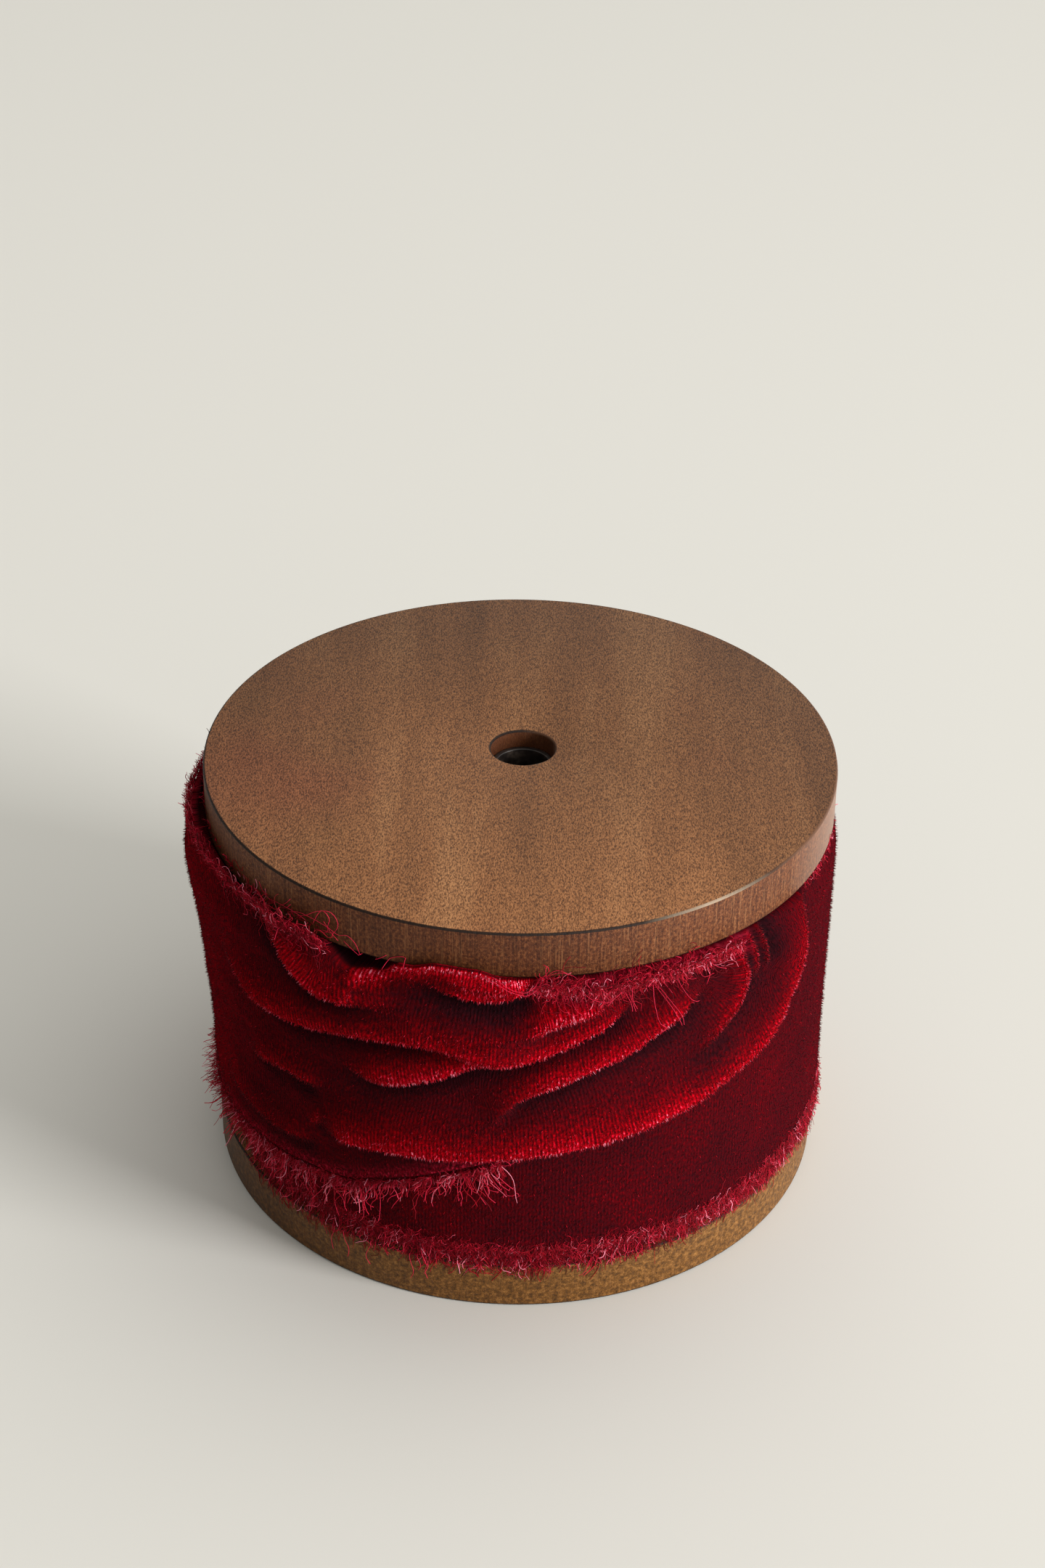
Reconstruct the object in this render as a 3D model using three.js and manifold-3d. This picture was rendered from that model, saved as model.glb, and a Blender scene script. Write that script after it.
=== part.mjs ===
import * as THREE from 'three';
import Module from 'manifold-3d';
import { mergeVertices } from 'three/addons/utils/BufferGeometryUtils.js';

const { clamp, lerp, smoothstep, degToRad } = THREE.MathUtils;

// A frayed velvet ribbon wound on a wooden spool. Millimetres, +Z up, standing on z = 0.
// Angles are degrees round the spool's axis: 0 faces the front, -Y, and 90 faces the right, +X.
// The origin is the middle of the footprint's box, because the ribbon flares out on the left.
const AXIS_X = 1.0;

// Spool
const HEIGHT = 57;
const FLANGE_R = 40;
const TOP_THICK = 6.3;
const BASE_THICK = 6.6;
const ARRIS = 0.35;
const BORE_R = 4.1;
const BORE_OFF = { x: 0.3, y: 0.8 };
const TUBE_R = 12;
const TUBE_BORE_R = 3.5;
const GAP = 0.3;
const FLANGE_STEP = 5;

// Ribbon roll
const ROLL_TOP = HEIGHT - TOP_THICK - GAP;
const ROLL_BOTTOM = BASE_THICK + GAP;
const FACE_BOTTOM = 7.6;
const BOTTOM_ROUND = 1.6;
const TOP_ROUND = 0.7;
const TURN_THICK = 1.1;
const LIP_THICK = 0.8;
const LIP_CLEAR = 0.5;
const LIP_RISE = 1.2;
const CORNER_CLEAR = 1.2;
const TUCK_START = 46;
const EDGE_EASE = 1.5;
const STEP_EDGE = { from: -0.5, to: 0.4 };
const UNDER_EDGE = 2.2;
const INNER_SLOPE = 0.7;
const INNER_FLAT = 5;
const RUN_PER_DEG = (Math.PI / 180) * 42;
const GATHER = 0.5;
const GATHER_REACH = 1.8;

// Radius of the wound body at three heights, and how far its upper edge tucks in
const RADII = [
  { angle: -120, low: 40.0, middle: 41.4, high: 42.2, tuck: 1.0 },
  { angle: -82, low: 39.4, middle: 41.0, high: 43.2, tuck: 1.2 },
  { angle: -45, low: 39.5, middle: 40.5, high: 41.6, tuck: 1.2 },
  { angle: -12, low: 40.1, middle: 40.4, high: 40.8, tuck: 0.7 },
  { angle: 20, low: 40.3, middle: 40.5, high: 40.4, tuck: 1.1 },
  { angle: 48, low: 40.5, middle: 40.5, high: 40.4, tuck: 1.1 },
  { angle: 82, low: 40.7, middle: 40.7, high: 40.7, tuck: 0.8 },
  { angle: 120, low: 40.8, middle: 41.2, high: 41.0, tuck: 0.7 },
  { angle: 180, low: 41.0, middle: 42.2, high: 42.4, tuck: 0.9 },
  { angle: 240, low: 40.0, middle: 41.4, high: 42.2, tuck: 1.0 },
];
const LOW_Z = 10;
const HIGH_Z = 50;

// Height of the ribbon's upper edge: it stands outside the upper flange on the left
const TOP_EDGE = [
  { angle: -120, z: ROLL_TOP },
  { angle: -102, z: 51.3 },
  { angle: -84, z: 52.1 },
  { angle: -68, z: 51.8 },
  { angle: -52, z: 51.2 },
  { angle: -40, z: 51.7 },
  { angle: -35, z: 51.2 },
  { angle: -28, z: 49.3 },
  { angle: -23, z: 49.6 },
  { angle: -16, z: 51.6 },
  { angle: -8, z: 51.8 },
  { angle: 1, z: ROLL_TOP },
  { angle: 240, z: ROLL_TOP },
];

// Folds of the outer turn. crest holds the angle and height of the visible edge, from its left or
// lower end. lift is how far it stands out, droop how far it hangs over what is below it, valley how
// deep the hollow below it is, above and below are the widths of its two slopes, and fade is the run
// over which it dies away at each end.
const FOLDS = {
  lowest: {
    lift: 1.8, droop: 0.9, valley: 0, above: 3.4, below: 0.9, fade: [6, 0],
    crest: [
      [-36, 22.4], [-29, 23.5], [-15, 24.8], [0, 26], [15, 27.8], [30, 30.1],
      [45, 33.2], [52, 37], [57, 43.5], [59.5, 49], [59, 54],
    ],
  },
  middle: {
    lift: 1.6, droop: 0.9, valley: 0.4, above: 3.0, below: 1.0, fade: [5, 3],
    crest: [
      [-26, 33.9], [-21, 34.5], [-14, 36.3], [-7, 38.8], [0, 40.2], [7, 41.8], [12, 43.6], [17, 45.2],
    ],
  },
  upperLeft: {
    lift: 1.8, droop: 0.9, valley: 0.6, above: 2.8, below: 1.2, fade: [14, 4],
    crest: [[-64, 41], [-52, 39.4], [-40, 39], [-32, 40], [-24, 40.8], [-14, 41.6], [-6, 41]],
  },
  rightDiagonal: {
    lift: 1.7, droop: 0.8, valley: 0.6, above: 2.8, below: 0.9, fade: [9, 3],
    crest: [
      [-6, 28.5], [-2, 31], [1, 33.2], [6, 35.6], [12, 37.4], [18, 39.3], [24, 42.2], [30, 44.9], [33, 46],
    ],
  },
  shortDiagonal: {
    lift: 1.2, droop: 0.6, valley: 0.2, above: 2.2, below: 0.8, fade: [3, 3],
    crest: [[2, 44.5], [6, 45.5], [10, 46.3], [14, 47.2], [18, 48.8]],
  },
  topLobe: {
    lift: 1.1, droop: 0.7, valley: 0.4, above: 2.2, below: 0.8, fade: [4, 2],
    crest: [[-13, 49.2], [-7, 48.2], [-3, 48.2], [0, 48.8], [3, 50]],
  },
  topLeft: {
    lift: 1.5, droop: 0.8, valley: 0.4, above: 2.6, below: 1.0, fade: [4, 5],
    crest: [[-51, 49.5], [-44, 47.4], [-39, 45.6], [-34, 44.3], [-28, 44.2]],
  },
  uprightFinger: {
    lift: 1.1, droop: 0.2, valley: 0, above: 2.4, below: 1.0, fade: [4, 0],
    crest: [[36, 40], [38.6, 41.5], [40, 43.5], [40.6, 46], [40, 48.5], [38, 52]],
  },
  innerPleat: {
    lift: 0.6, droop: 0.1, valley: 0.2, above: 1.0, below: 0.6, fade: [2, 0],
    crest: [[42.6, 45.5], [43.3, 48.5], [43.4, 52]],
  },
  outerPleat: {
    lift: 0.6, droop: 0.1, valley: 0.2, above: 1.2, below: 0.6, fade: [2, 0],
    crest: [[46.6, 46.5], [47.3, 49], [47.4, 52]],
  },
  leftSoft: {
    lift: 0.9, droop: 0.4, valley: 0.2, above: 2.2, below: 1.1, fade: [5, 4],
    crest: [[-54, 28], [-47, 29.2], [-41, 29.9], [-33, 29.2]],
  },
  leftLow: {
    lift: 0.8, droop: 0.2, valley: 0, above: 2.6, below: 1.2, fade: [6, 3],
    crest: [[-66, 19.6], [-52, 19.2], [-43, 19.3], [-36, 20.2]],
  },
  backOne: {
    lift: 0.8, droop: 0, valley: 0, above: 4, below: 2.5, fade: [8, 8],
    crest: [[96, 33], [120, 36], [150, 35]],
  },
  backTwo: {
    lift: 0.7, droop: 0, valley: 0, above: 4, below: 2.5, fade: [8, 8],
    crest: [[130, 23], [165, 26], [200, 25]],
  },
  backThree: {
    lift: 0.9, droop: 0, valley: 0, above: 4, below: 2.5, fade: [8, 8],
    crest: [[168, 40], [200, 43], [234, 41]],
  },
  backFour: {
    lift: 0.7, droop: 0, valley: 0, above: 4, below: 2.5, fade: [8, 8],
    crest: [[186, 17], [212, 16], [236, 18]],
  },
};

// Lower border of the outer turn: the torn edge on the left, then the folded-under edge that climbs
// on the right until it is tucked under the upper flange
const TURN_BORDER = {
  droop: 0, fade: [18, 0],
  crest: [
    [-96, 11.8], [-68, 13.2], [-50, 14.0], [-40, 15.1], [-30, 16.2], [-24, 17.9], [-16, 20.2],
    [-8, 22.6], [0, 24.4], [15, 26.8], [30, 29.1], [45, 32.2], [52.5, 36.6], [57.8, 43.5], [60.2, 49],
    [60, 54],
  ],
};

// Rows of the face's mesh that lie along crests, from the lowest up, and the steps below each
const BOTTOM_EDGE = { droop: 0, crest: [[-120, 10], [240, 10]] };
const ROW_GUIDES = [
  { along: [BOTTOM_EDGE], steps: 2 },
  { along: [TURN_BORDER], steps: 3 },
  { along: [FOLDS.leftLow, FOLDS.lowest], steps: 3 },
  { along: [FOLDS.leftSoft, FOLDS.rightDiagonal], steps: 5 },
  { along: [FOLDS.middle], steps: 5 },
  { along: [FOLDS.upperLeft, FOLDS.shortDiagonal], steps: 5 },
  { along: [FOLDS.topLeft, FOLDS.topLobe], steps: 4 },
];
const TOP_STEPS = 5;
// Steps round the roll, finer where the folds are and finest where they stand upright
const FINE_FROM = -54;
const UPRIGHT_FROM = 33;
const FINE_TO = 64;
const COARSE_STEP = 6;
const FINE_STEP = 2.5;
const UPRIGHT_STEP = 1.5;
const FIRST_ANGLE = -120;
const LAST_ANGLE = FIRST_ANGLE + 360;
const GUIDE_LAST_ANGLE = 52;
const GUIDE_LEAD = 18;
const GUIDE_APART = 0.8;
const ROW_CROWDING = 0.5;

// Strips that the torn edges' threads are fused to
const STRIP_THICK = 0.45;
const STRIP_HIGH = 0.8;
const LIP_SEAT = 0.45;
const ABOVE_STEPS = 8;
const SEAT_GAP = GAP + 0.05;
const NEAR_FINE = 3.2;
const NEAR_COARSE = 7;
const NEAR_HEIGHT = 0.9;

// Torn edges. Each has the angle and height of its line, the way its threads point, how many there
// are, the shortest and longest in millimetres, and how far they lean along the edge.
const FRAYS = [
  { name: 'fray_top_left', way: 1, threads: 14, length: [0.8, 2.0], line: above(-110, -64) },
  { name: 'fray_top_tangle', way: 1, threads: 22, length: [0.9, 3.6], line: above(-61, -35) },
  {
    name: 'fray_top_front', way: -1, threads: 26, length: [0.9, 3.4],
    line: [[2, 50.6], [14, 50.2], [26, 50.2], [38, 50.5]],
  },
  {
    name: 'fray_top_right', way: -1, threads: 8, length: [0.7, 1.6],
    line: [[64, 49.6], [90, 49.6], [118, 49.6]],
  },
  {
    name: 'fray_top_back', way: -1, threads: 8, length: [0.7, 1.8],
    line: [[122, 49.6], [150, 49.7], [178, 49.7]],
  },
  {
    name: 'fray_top_back_left', way: -1, threads: 8, length: [0.7, 1.8],
    line: [[182, 49.7], [210, 49.6], [236, 49.6]],
  },
  {
    name: 'fray_turn_left', way: -1, threads: 16, length: [1.8, 3.6],
    line: [[-112, 10.6], [-96, 11.0], [-64, 12.7]],
  },
  {
    name: 'fray_turn_front', way: -1, threads: 44, length: [1.6, 4.2],
    line: [[-60, 12.8], [-40, 14.2], [-30, 15.2], [-16, 19.0], [-6, 22.0]],
  },
  {
    name: 'fray_under_front', way: -1, threads: 30, length: [0.9, 3.0],
    line: [[-36, 8.3], [0, 8.5], [22, 8.8]],
  },
  {
    name: 'fray_under_right', way: -1, threads: 24, length: [0.9, 2.6],
    line: [[25, 8.9], [50, 9.4], [82, 9.7]],
  },
  { name: 'fray_under_back', way: -1, threads: 10, length: [1.0, 2.6], line: [[85, 9.7], [140, 9.9]] },
  { name: 'fray_under_rear', way: -1, threads: 8, length: [1.0, 2.6], line: [[144, 9.9], [199, 10.1]] },
  {
    name: 'fray_under_back_left', way: -1, threads: 8, length: [1.0, 2.6],
    line: [[203, 10.1], [243, 10.4]],
  },
];
const STRIP_STEP = 4;
const THREAD_ROOT = 0.17;
const THREAD_MIDDLE = 0.12;
const THREAD_LEAN = 1.4;
const THREAD_PROUD = 0.5;
const THREAD_BEND = 0.5;
const LOWEST_THREAD = 3.0;
const TURN_THREAD_FLOOR = 10.6;
const TURN_FLOOR_REACH = { from: -42, to: 0, over: 12 };

// Finishes
const STAINED_WOOD = { color: 0x7a543a, roughness: 0.55, metalness: 0 };
const TUBE_BOARD = { color: 0x4a3a30, roughness: 0.8, metalness: 0 };
const VELVET = { color: 0x7d0a1c, roughness: 0.95, metalness: 0 };
const LOOSE_THREAD = { color: 0xb02848, roughness: 0.9, metalness: 0 };

const wasm = await Module();
wasm.setup();

function polar(angle, r, z) {
  const a = degToRad(angle);
  return new THREE.Vector3(AXIS_X + r * Math.sin(a), -r * Math.cos(a), z);
}

// Value of one column of a table at an angle, eased from row to row
function column(table, angle, key) {
  const i = clamp(table.findIndex((row) => row.angle > angle), 1, table.length - 1);
  const next = angle >= table[table.length - 1].angle ? table.length - 1 : i;
  const a = table[next - 1];
  const b = table[next];
  return lerp(a[key], b[key], smoothstep(angle, a.angle, b.angle));
}

// A closed mesh from rings of points. A ring of one point is a tip.
function skin(rings, joined = false) {
  const points = rings.flat();
  const starts = [];
  let count = 0;
  for (const ring of rings) {
    starts.push(count);
    count += ring.length;
  }
  const index = [];
  const spans = joined ? rings.length : rings.length - 1;
  for (let i = 0; i < spans; i++) {
    const j = (i + 1) % rings.length;
    const sides = Math.max(rings[i].length, rings[j].length);
    for (let k = 0; k < sides; k++) {
      const l = (k + 1) % sides;
      const a = starts[i] + (rings[i].length > 1 ? k : 0);
      const b = starts[i] + (rings[i].length > 1 ? l : 0);
      const c = starts[j] + (rings[j].length > 1 ? l : 0);
      const d = starts[j] + (rings[j].length > 1 ? k : 0);
      if (c === d) {
        index.push(a, b, c);
      } else if (points[a].distanceToSquared(points[c]) <= points[b].distanceToSquared(points[d])) {
        index.push(a, b, c, a, c, d);
      } else {
        index.push(a, b, d, b, c, d);
      }
    }
  }
  if (!joined) {
    for (let k = 1; k < rings[0].length - 1; k++) {
      index.push(0, k + 1, k);
    }
    const last = starts[rings.length - 1];
    for (let k = 1; k < rings[rings.length - 1].length - 1; k++) {
      index.push(last, last + k, last + k + 1);
    }
  }
  const geometry = new THREE.BufferGeometry().setFromPoints(points);
  geometry.setIndex(volumeOf(points, index) < 0 ? index.reverse() : index);
  return geometry;
}

function volumeOf(points, index) {
  let volume = 0;
  for (let i = 0; i < index.length; i += 3) {
    const [a, b, c] = [points[index[i]], points[index[i + 1]], points[index[i + 2]]];
    volume += a.dot(new THREE.Vector3().crossVectors(b, c)) / 6;
  }
  return volume;
}

// A crest line in the unrolled face: run along the roll and height, both in millimetres
class CrestLine {
  constructor({ crest, fade, droop }) {
    const curve = new THREE.SplineCurve(crest.map(([angle, z]) => new THREE.Vector2(angle * RUN_PER_DEG, z)));
    this.points = curve.getSpacedPoints(crest.length * 4);
    this.length = curve.getLength();
    this.fade = fade;
    this.droop = droop;
  }

  // Signed distance to the line where the crest is before it droops, and its normal there
  near(run, z) {
    const at = new THREE.Vector2(run, z);
    let best = Infinity;
    let found = null;
    let along = 0;
    for (let i = 0; i < this.points.length - 1; i++) {
      const a = this.points[i];
      const step = this.points[i + 1].clone().sub(a);
      const length = step.length();
      const t = clamp(at.clone().sub(a).dot(step) / (length * length), 0, 1);
      const foot = a.clone().addScaledVector(step, t);
      const far = foot.distanceTo(at);
      if (far < best) {
        best = far;
        const normal = new THREE.Vector2(-step.y, step.x).divideScalar(length);
        const side = Math.sign(at.clone().sub(foot).dot(normal)) || 1;
        found = { off: side * far - this.droop, normal, along: along + t * length };
      }
      along += length;
    }
    const [start, end] = this.fade;
    const rise = start > 0 ? smoothstep(found.along, 0, start) : 1;
    const fall = end > 0 ? smoothstep(this.length - found.along, 0, end) : 1;
    found.strength = rise * fall;
    return found;
  }
}

const FOLD_LINES = Object.values(FOLDS).map((fold) => ({ ...fold, line: new CrestLine(fold) }));
const BORDER_LINE = new CrestLine(TURN_BORDER);

// Height of a crest's cross-section, with the hollow just below it
function bell(off, above, below) {
  return Math.exp(-((off / (off > 0 ? above : below)) ** 2));
}

function hollow(off, below) {
  return Math.exp(-(((off + 2.2 * below) / (1.2 * below)) ** 2));
}

function bodyRadius(angle, z) {
  const low = column(RADII, angle, 'low');
  const middle = column(RADII, angle, 'middle');
  const high = column(RADII, angle, 'high');
  const t = (z - LOW_Z) / (HIGH_Z - LOW_Z);
  const bow = middle - (low + high) / 2;
  return low + (high - low) * t + 4 * bow * t * (1 - t);
}

// A point of the ribbon's outer face, with its angle and radius kept beside it
function facePoint(angle, z, top) {
  const ease = smoothstep(top - z, 0, EDGE_EASE) * smoothstep(z - FACE_BOTTOM, 0, EDGE_EASE);
  let run = angle * RUN_PER_DEG;
  let height = z;
  for (const fold of FOLD_LINES) {
    const { off, normal, strength } = fold.line.near(run, height);
    const upright = Math.abs(normal.x) ** 2;
    const pull = -off * GATHER * upright * ease * strength * Math.exp(-((off / GATHER_REACH) ** 2));
    run += pull * normal.x;
    height += pull * normal.y;
  }
  let r = bodyRadius(run / RUN_PER_DEG, height);
  const border = BORDER_LINE.near(run, height);
  r += TURN_THICK * border.strength * smoothstep(border.off, STEP_EDGE.from, STEP_EDGE.to);
  let shiftRun = 0;
  let shiftZ = 0;
  for (const fold of FOLD_LINES) {
    const { off, normal, strength } = fold.line.near(run, height);
    r += fold.lift * strength * bell(off, fold.above, fold.below);
    r -= fold.valley * strength * hollow(off, fold.below);
    const hang = fold.droop * strength * ease * bell(off, fold.above * 0.5, fold.below * 0.9);
    shiftRun -= hang * normal.x;
    shiftZ -= hang * normal.y;
  }
  run += shiftRun;
  height += shiftZ;
  const tuck = column(RADII, angle, 'tuck');
  r -= tuck * smoothstep(height, TUCK_START, top);
  r -= rounding(z - FACE_BOTTOM, BOTTOM_ROUND) + rounding(top - z, TOP_ROUND);
  if (height > ROLL_TOP - 2 * GAP) {
    const clear = FLANGE_R + LIP_CLEAR + LIP_THICK;
    r = lerp(r, Math.max(r, clear), smoothstep(top, ROLL_TOP, ROLL_TOP + LIP_RISE));
  }
  return { angle: run / RUN_PER_DEG, r, z: height };
}

// How far a rounded edge falls back at a distance from the edge
function rounding(distance, radius) {
  if (distance >= radius) {
    return 0;
  }
  const inside = radius - distance;
  return radius - Math.sqrt(radius * radius - inside * inside);
}

function rollAngles() {
  const angles = [];
  let angle = FIRST_ANGLE;
  while (angle < LAST_ANGLE) {
    angles.push(angle);
    if (angle < FINE_FROM || angle >= FINE_TO) {
      angle += COARSE_STEP;
    } else {
      angle += angle < UPRIGHT_FROM ? FINE_STEP : UPRIGHT_STEP;
    }
  }
  return angles;
}

// Height of each row guide at an angle: on its crests, and evenly spaced far from them
const GUIDE_TABLES = ROW_GUIDES.map(({ along }) => along.flatMap(({ crest, droop }) => {
  const kept = crest.filter(([angle]) => angle <= GUIDE_LAST_ANGLE || angle === LAST_ANGLE);
  return kept.map(([angle, z]) => ({ angle, z: z + droop }));
}));

function guideHeight(table, angle, even) {
  const first = table[0];
  const last = table[table.length - 1];
  if (angle <= first.angle) {
    return lerp(first.z, even, smoothstep(first.angle - angle, 0, GUIDE_LEAD));
  }
  if (angle >= last.angle) {
    return lerp(last.z, even, smoothstep(angle - last.angle, 0, GUIDE_LEAD));
  }
  const i = table.findIndex((row) => row.angle > angle);
  const a = table[i - 1];
  const b = table[i];
  return lerp(a.z, b.z, (angle - a.angle) / (b.angle - a.angle));
}

function rowHeights(angle, top) {
  const steps = [...ROW_GUIDES.map((guide) => guide.steps), TOP_STEPS];
  const total = steps.reduce((sum, n) => sum + n, 0);
  const marks = [FACE_BOTTOM];
  let passed = 0;
  GUIDE_TABLES.forEach((table, i) => {
    passed += steps[i];
    const even = lerp(FACE_BOTTOM, top, passed / total);
    marks.push(Math.max(guideHeight(table, angle, even), marks[i] + GUIDE_APART));
  });
  marks.push(top);
  for (let i = marks.length - 2; i > 0; i--) {
    marks[i] = Math.min(marks[i], marks[i + 1] - GUIDE_APART);
  }
  const heights = [FACE_BOTTOM];
  steps.forEach((n, i) => {
    for (let k = 1; k <= n; k++) {
      const t = k / n;
      const crowded = t - (ROW_CROWDING * Math.sin(2 * Math.PI * t)) / (2 * Math.PI);
      heights.push(lerp(marks[i], marks[i + 1], crowded));
    }
  });
  return heights;
}

// Points all over the finished face, as angle, radius and height
const face = [];
const FACE_BETWEEN = 4;

function between(a, b, t) {
  return { angle: lerp(a.angle, b.angle, t), r: lerp(a.r, b.r, t), z: lerp(a.z, b.z, t) };
}

function rollProfile(angle) {
  const top = column(TOP_EDGE, angle, 'z');
  const lip = clamp((top - ROLL_TOP) / LIP_RISE, 0, 1);
  const flat = Math.min(top, ROLL_TOP);
  const profile = [polar(angle, TUBE_R + GAP, ROLL_BOTTOM), polar(angle, FLANGE_R - UNDER_EDGE, ROLL_BOTTOM)];
  let edge = null;
  for (const z of rowHeights(angle, top)) {
    const point = facePoint(angle, z, top);
    for (let k = 1; edge && k < FACE_BETWEEN; k++) {
      face.push(between(edge, point, k / FACE_BETWEEN));
    }
    face.push(point);
    profile.push(polar(point.angle, point.r, point.z));
    edge = point;
  }
  const inside = edge.r - LIP_THICK;
  profile.push(polar(angle, inside, top));
  profile.push(polar(angle, lerp(inside - INNER_SLOPE, FLANGE_R + LIP_CLEAR, lip), flat));
  const corner = lerp(inside - 2 * INNER_SLOPE, FLANGE_R - CORNER_CLEAR, lip);
  profile.push(polar(angle, corner, flat - lip * CORNER_CLEAR));
  profile.push(polar(angle, FLANGE_R - INNER_FLAT, flat));
  profile.push(polar(angle, TUBE_R + GAP, ROLL_TOP));
  return profile;
}

// Radius that clears the roll and the flanges near a point, for what lies on them
function clearRadius(angle, z) {
  const wide = angle > FINE_FROM - FINE_STEP && angle < FINE_TO + FINE_STEP ? NEAR_FINE : NEAR_COARSE;
  let r = z < ROLL_BOTTOM + GAP || z > ROLL_TOP - GAP ? FLANGE_R : 0;
  for (const point of face) {
    const apart = Math.abs(point.angle - angle);
    if (Math.min(apart, 360 - apart) < wide && Math.abs(point.z - z) < NEAR_HEIGHT) {
      r = Math.max(r, point.r);
    }
  }
  return r + SEAT_GAP;
}

// Line of a torn edge that stands just clear above the ribbon's upper edge
function above(from, to) {
  const line = [];
  for (let angle = from; angle <= to; angle += (to - from) / ABOVE_STEPS) {
    line.push([angle, column(TOP_EDGE, angle, 'z') + STRIP_HIGH / 2 + SEAT_GAP]);
  }
  return line;
}

function lineHeight(line, angle) {
  const rows = line.map(([a, z]) => ({ angle: a, z }));
  return column(rows, angle, 'z');
}

function makeRandom(seed) {
  let state = seed;
  return () => {
    state = (state * 1664525 + 1013904223) % 4294967296;
    return state / 4294967296;
  };
}

function threadSection(angle, r, z, size) {
  return [0, 120, 240].map((turn) => {
    const a = degToRad(turn + 30);
    return polar(angle + (size * Math.cos(a)) / RUN_PER_DEG, r + size * Math.sin(a), z);
  });
}

function solidOf(geometry) {
  const merged = mergeVertices(geometry);
  const mesh = new wasm.Mesh({
    numProp: 3,
    vertProperties: new Float32Array(merged.attributes.position.array),
    triVerts: new Uint32Array(merged.index.array),
  });
  mesh.merge();
  return new wasm.Manifold(mesh);
}

function geometryOf(solid) {
  const { vertProperties, triVerts, numProp } = solid.getMesh();
  const positions = [];
  for (let i = 0; i < vertProperties.length; i += numProp) {
    positions.push(vertProperties[i], vertProperties[i + 1], vertProperties[i + 2]);
  }
  const geometry = new THREE.BufferGeometry();
  geometry.setAttribute('position', new THREE.Float32BufferAttribute(positions, 3));
  geometry.setIndex(Array.from(triVerts));
  return geometry;
}

// Lowest point of a thread: those of the outer turn end above the torn edge under it
function threadFloor(angle, z) {
  const { from, to, over } = TURN_FLOOR_REACH;
  return angle > from && angle < to && z > over ? TURN_THREAD_FLOOR : LOWEST_THREAD;
}

// A narrow strip along a torn edge with loose threads fused into it
function frayGeometry({ line, way, threads, length }, seed) {
  const random = makeRandom(seed);
  const from = line[0][0];
  const to = line[line.length - 1][0];
  const steps = Math.ceil((to - from) / STRIP_STEP);
  const seats = [];
  for (let i = 0; i <= steps; i++) {
    const angle = lerp(from, to, i / steps);
    seats.push(way > 0 ? FLANGE_R + LIP_SEAT : clearRadius(angle, lineHeight(line, angle)));
  }
  const rings = seats.map((r, i) => {
    const angle = lerp(from, to, i / steps);
    const z = lineHeight(line, angle);
    const half = STRIP_HIGH / 2;
    return [
      polar(angle, r, z - half),
      polar(angle, r + STRIP_THICK, z - half),
      polar(angle, r + STRIP_THICK, z + half),
      polar(angle, r, z + half),
    ];
  });
  let solid = solidOf(skin(rings));
  for (let i = 0; i < threads; i++) {
    const share = (i + 0.5 + 0.5 * (random() - 0.5)) / threads;
    const angle = lerp(from, to, share);
    const z = lineHeight(line, angle);
    const reach = lerp(length[0], length[1], random() ** 2);
    const edgeRoom = Math.min(share, 1 - share) * (to - from);
    const lean = clamp((random() - 0.5) * 2 * THREAD_LEAN, -0.6 * edgeRoom, 0.6 * edgeRoom);
    const floor = threadFloor(angle, z);
    const bendZ = z + way * (STRIP_HIGH + reach) * THREAD_BEND;
    const middle = { angle: angle + lean * THREAD_BEND, z: Math.max(floor + STRIP_HIGH, bendZ) };
    const tip = { angle: angle + lean, z: Math.max(floor, z + way * (STRIP_HIGH / 2 + reach)) };
    const seat = Math.min(Math.floor(share * steps), steps - 1);
    const rootR = lerp(seats[seat], seats[seat + 1], share * steps - seat) + STRIP_THICK / 2;
    const middleR = Math.max(rootR, clearRadius(middle.angle, middle.z) + 0.2) + 0.1 * random();
    const tipR = Math.max(middleR - 0.1, clearRadius(tip.angle, tip.z) + 0.1) + THREAD_PROUD * random();
    solid = solid.add(solidOf(skin([
      threadSection(angle, rootR, z, THREAD_ROOT),
      threadSection(middle.angle, middleR, middle.z, THREAD_MIDDLE),
      [polar(tip.angle, tipR, tip.z)],
    ])));
  }
  return geometryOf(solid);
}

// A flange: a disc with broken edges and a hole set a little off its centre
function flangeGeometry(bottom, top) {
  const rings = [];
  for (let angle = 0; angle < 360; angle += FLANGE_STEP) {
    rings.push([
      borePoint(angle, BORE_R, bottom),
      polar(angle, FLANGE_R - ARRIS, bottom),
      polar(angle, FLANGE_R, bottom + ARRIS),
      polar(angle, FLANGE_R, top - ARRIS),
      polar(angle, FLANGE_R - ARRIS, top),
      borePoint(angle, BORE_R, top),
    ]);
  }
  return skin(rings, true);
}

function borePoint(angle, r, z) {
  const point = polar(angle, r, z);
  point.x += BORE_OFF.x;
  point.y += BORE_OFF.y;
  return point;
}

function tubeGeometry() {
  const rings = [];
  for (let angle = 0; angle < 360; angle += FLANGE_STEP * 2) {
    rings.push([
      borePoint(angle, TUBE_BORE_R, ROLL_BOTTOM),
      polar(angle, TUBE_R, ROLL_BOTTOM),
      polar(angle, TUBE_R, ROLL_TOP),
      borePoint(angle, TUBE_BORE_R, ROLL_TOP),
    ]);
  }
  return skin(rings, true);
}

function named(name, geometry, finish) {
  const mesh = new THREE.Mesh(geometry, new THREE.MeshStandardMaterial(finish));
  mesh.name = name;
  return mesh;
}

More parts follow.
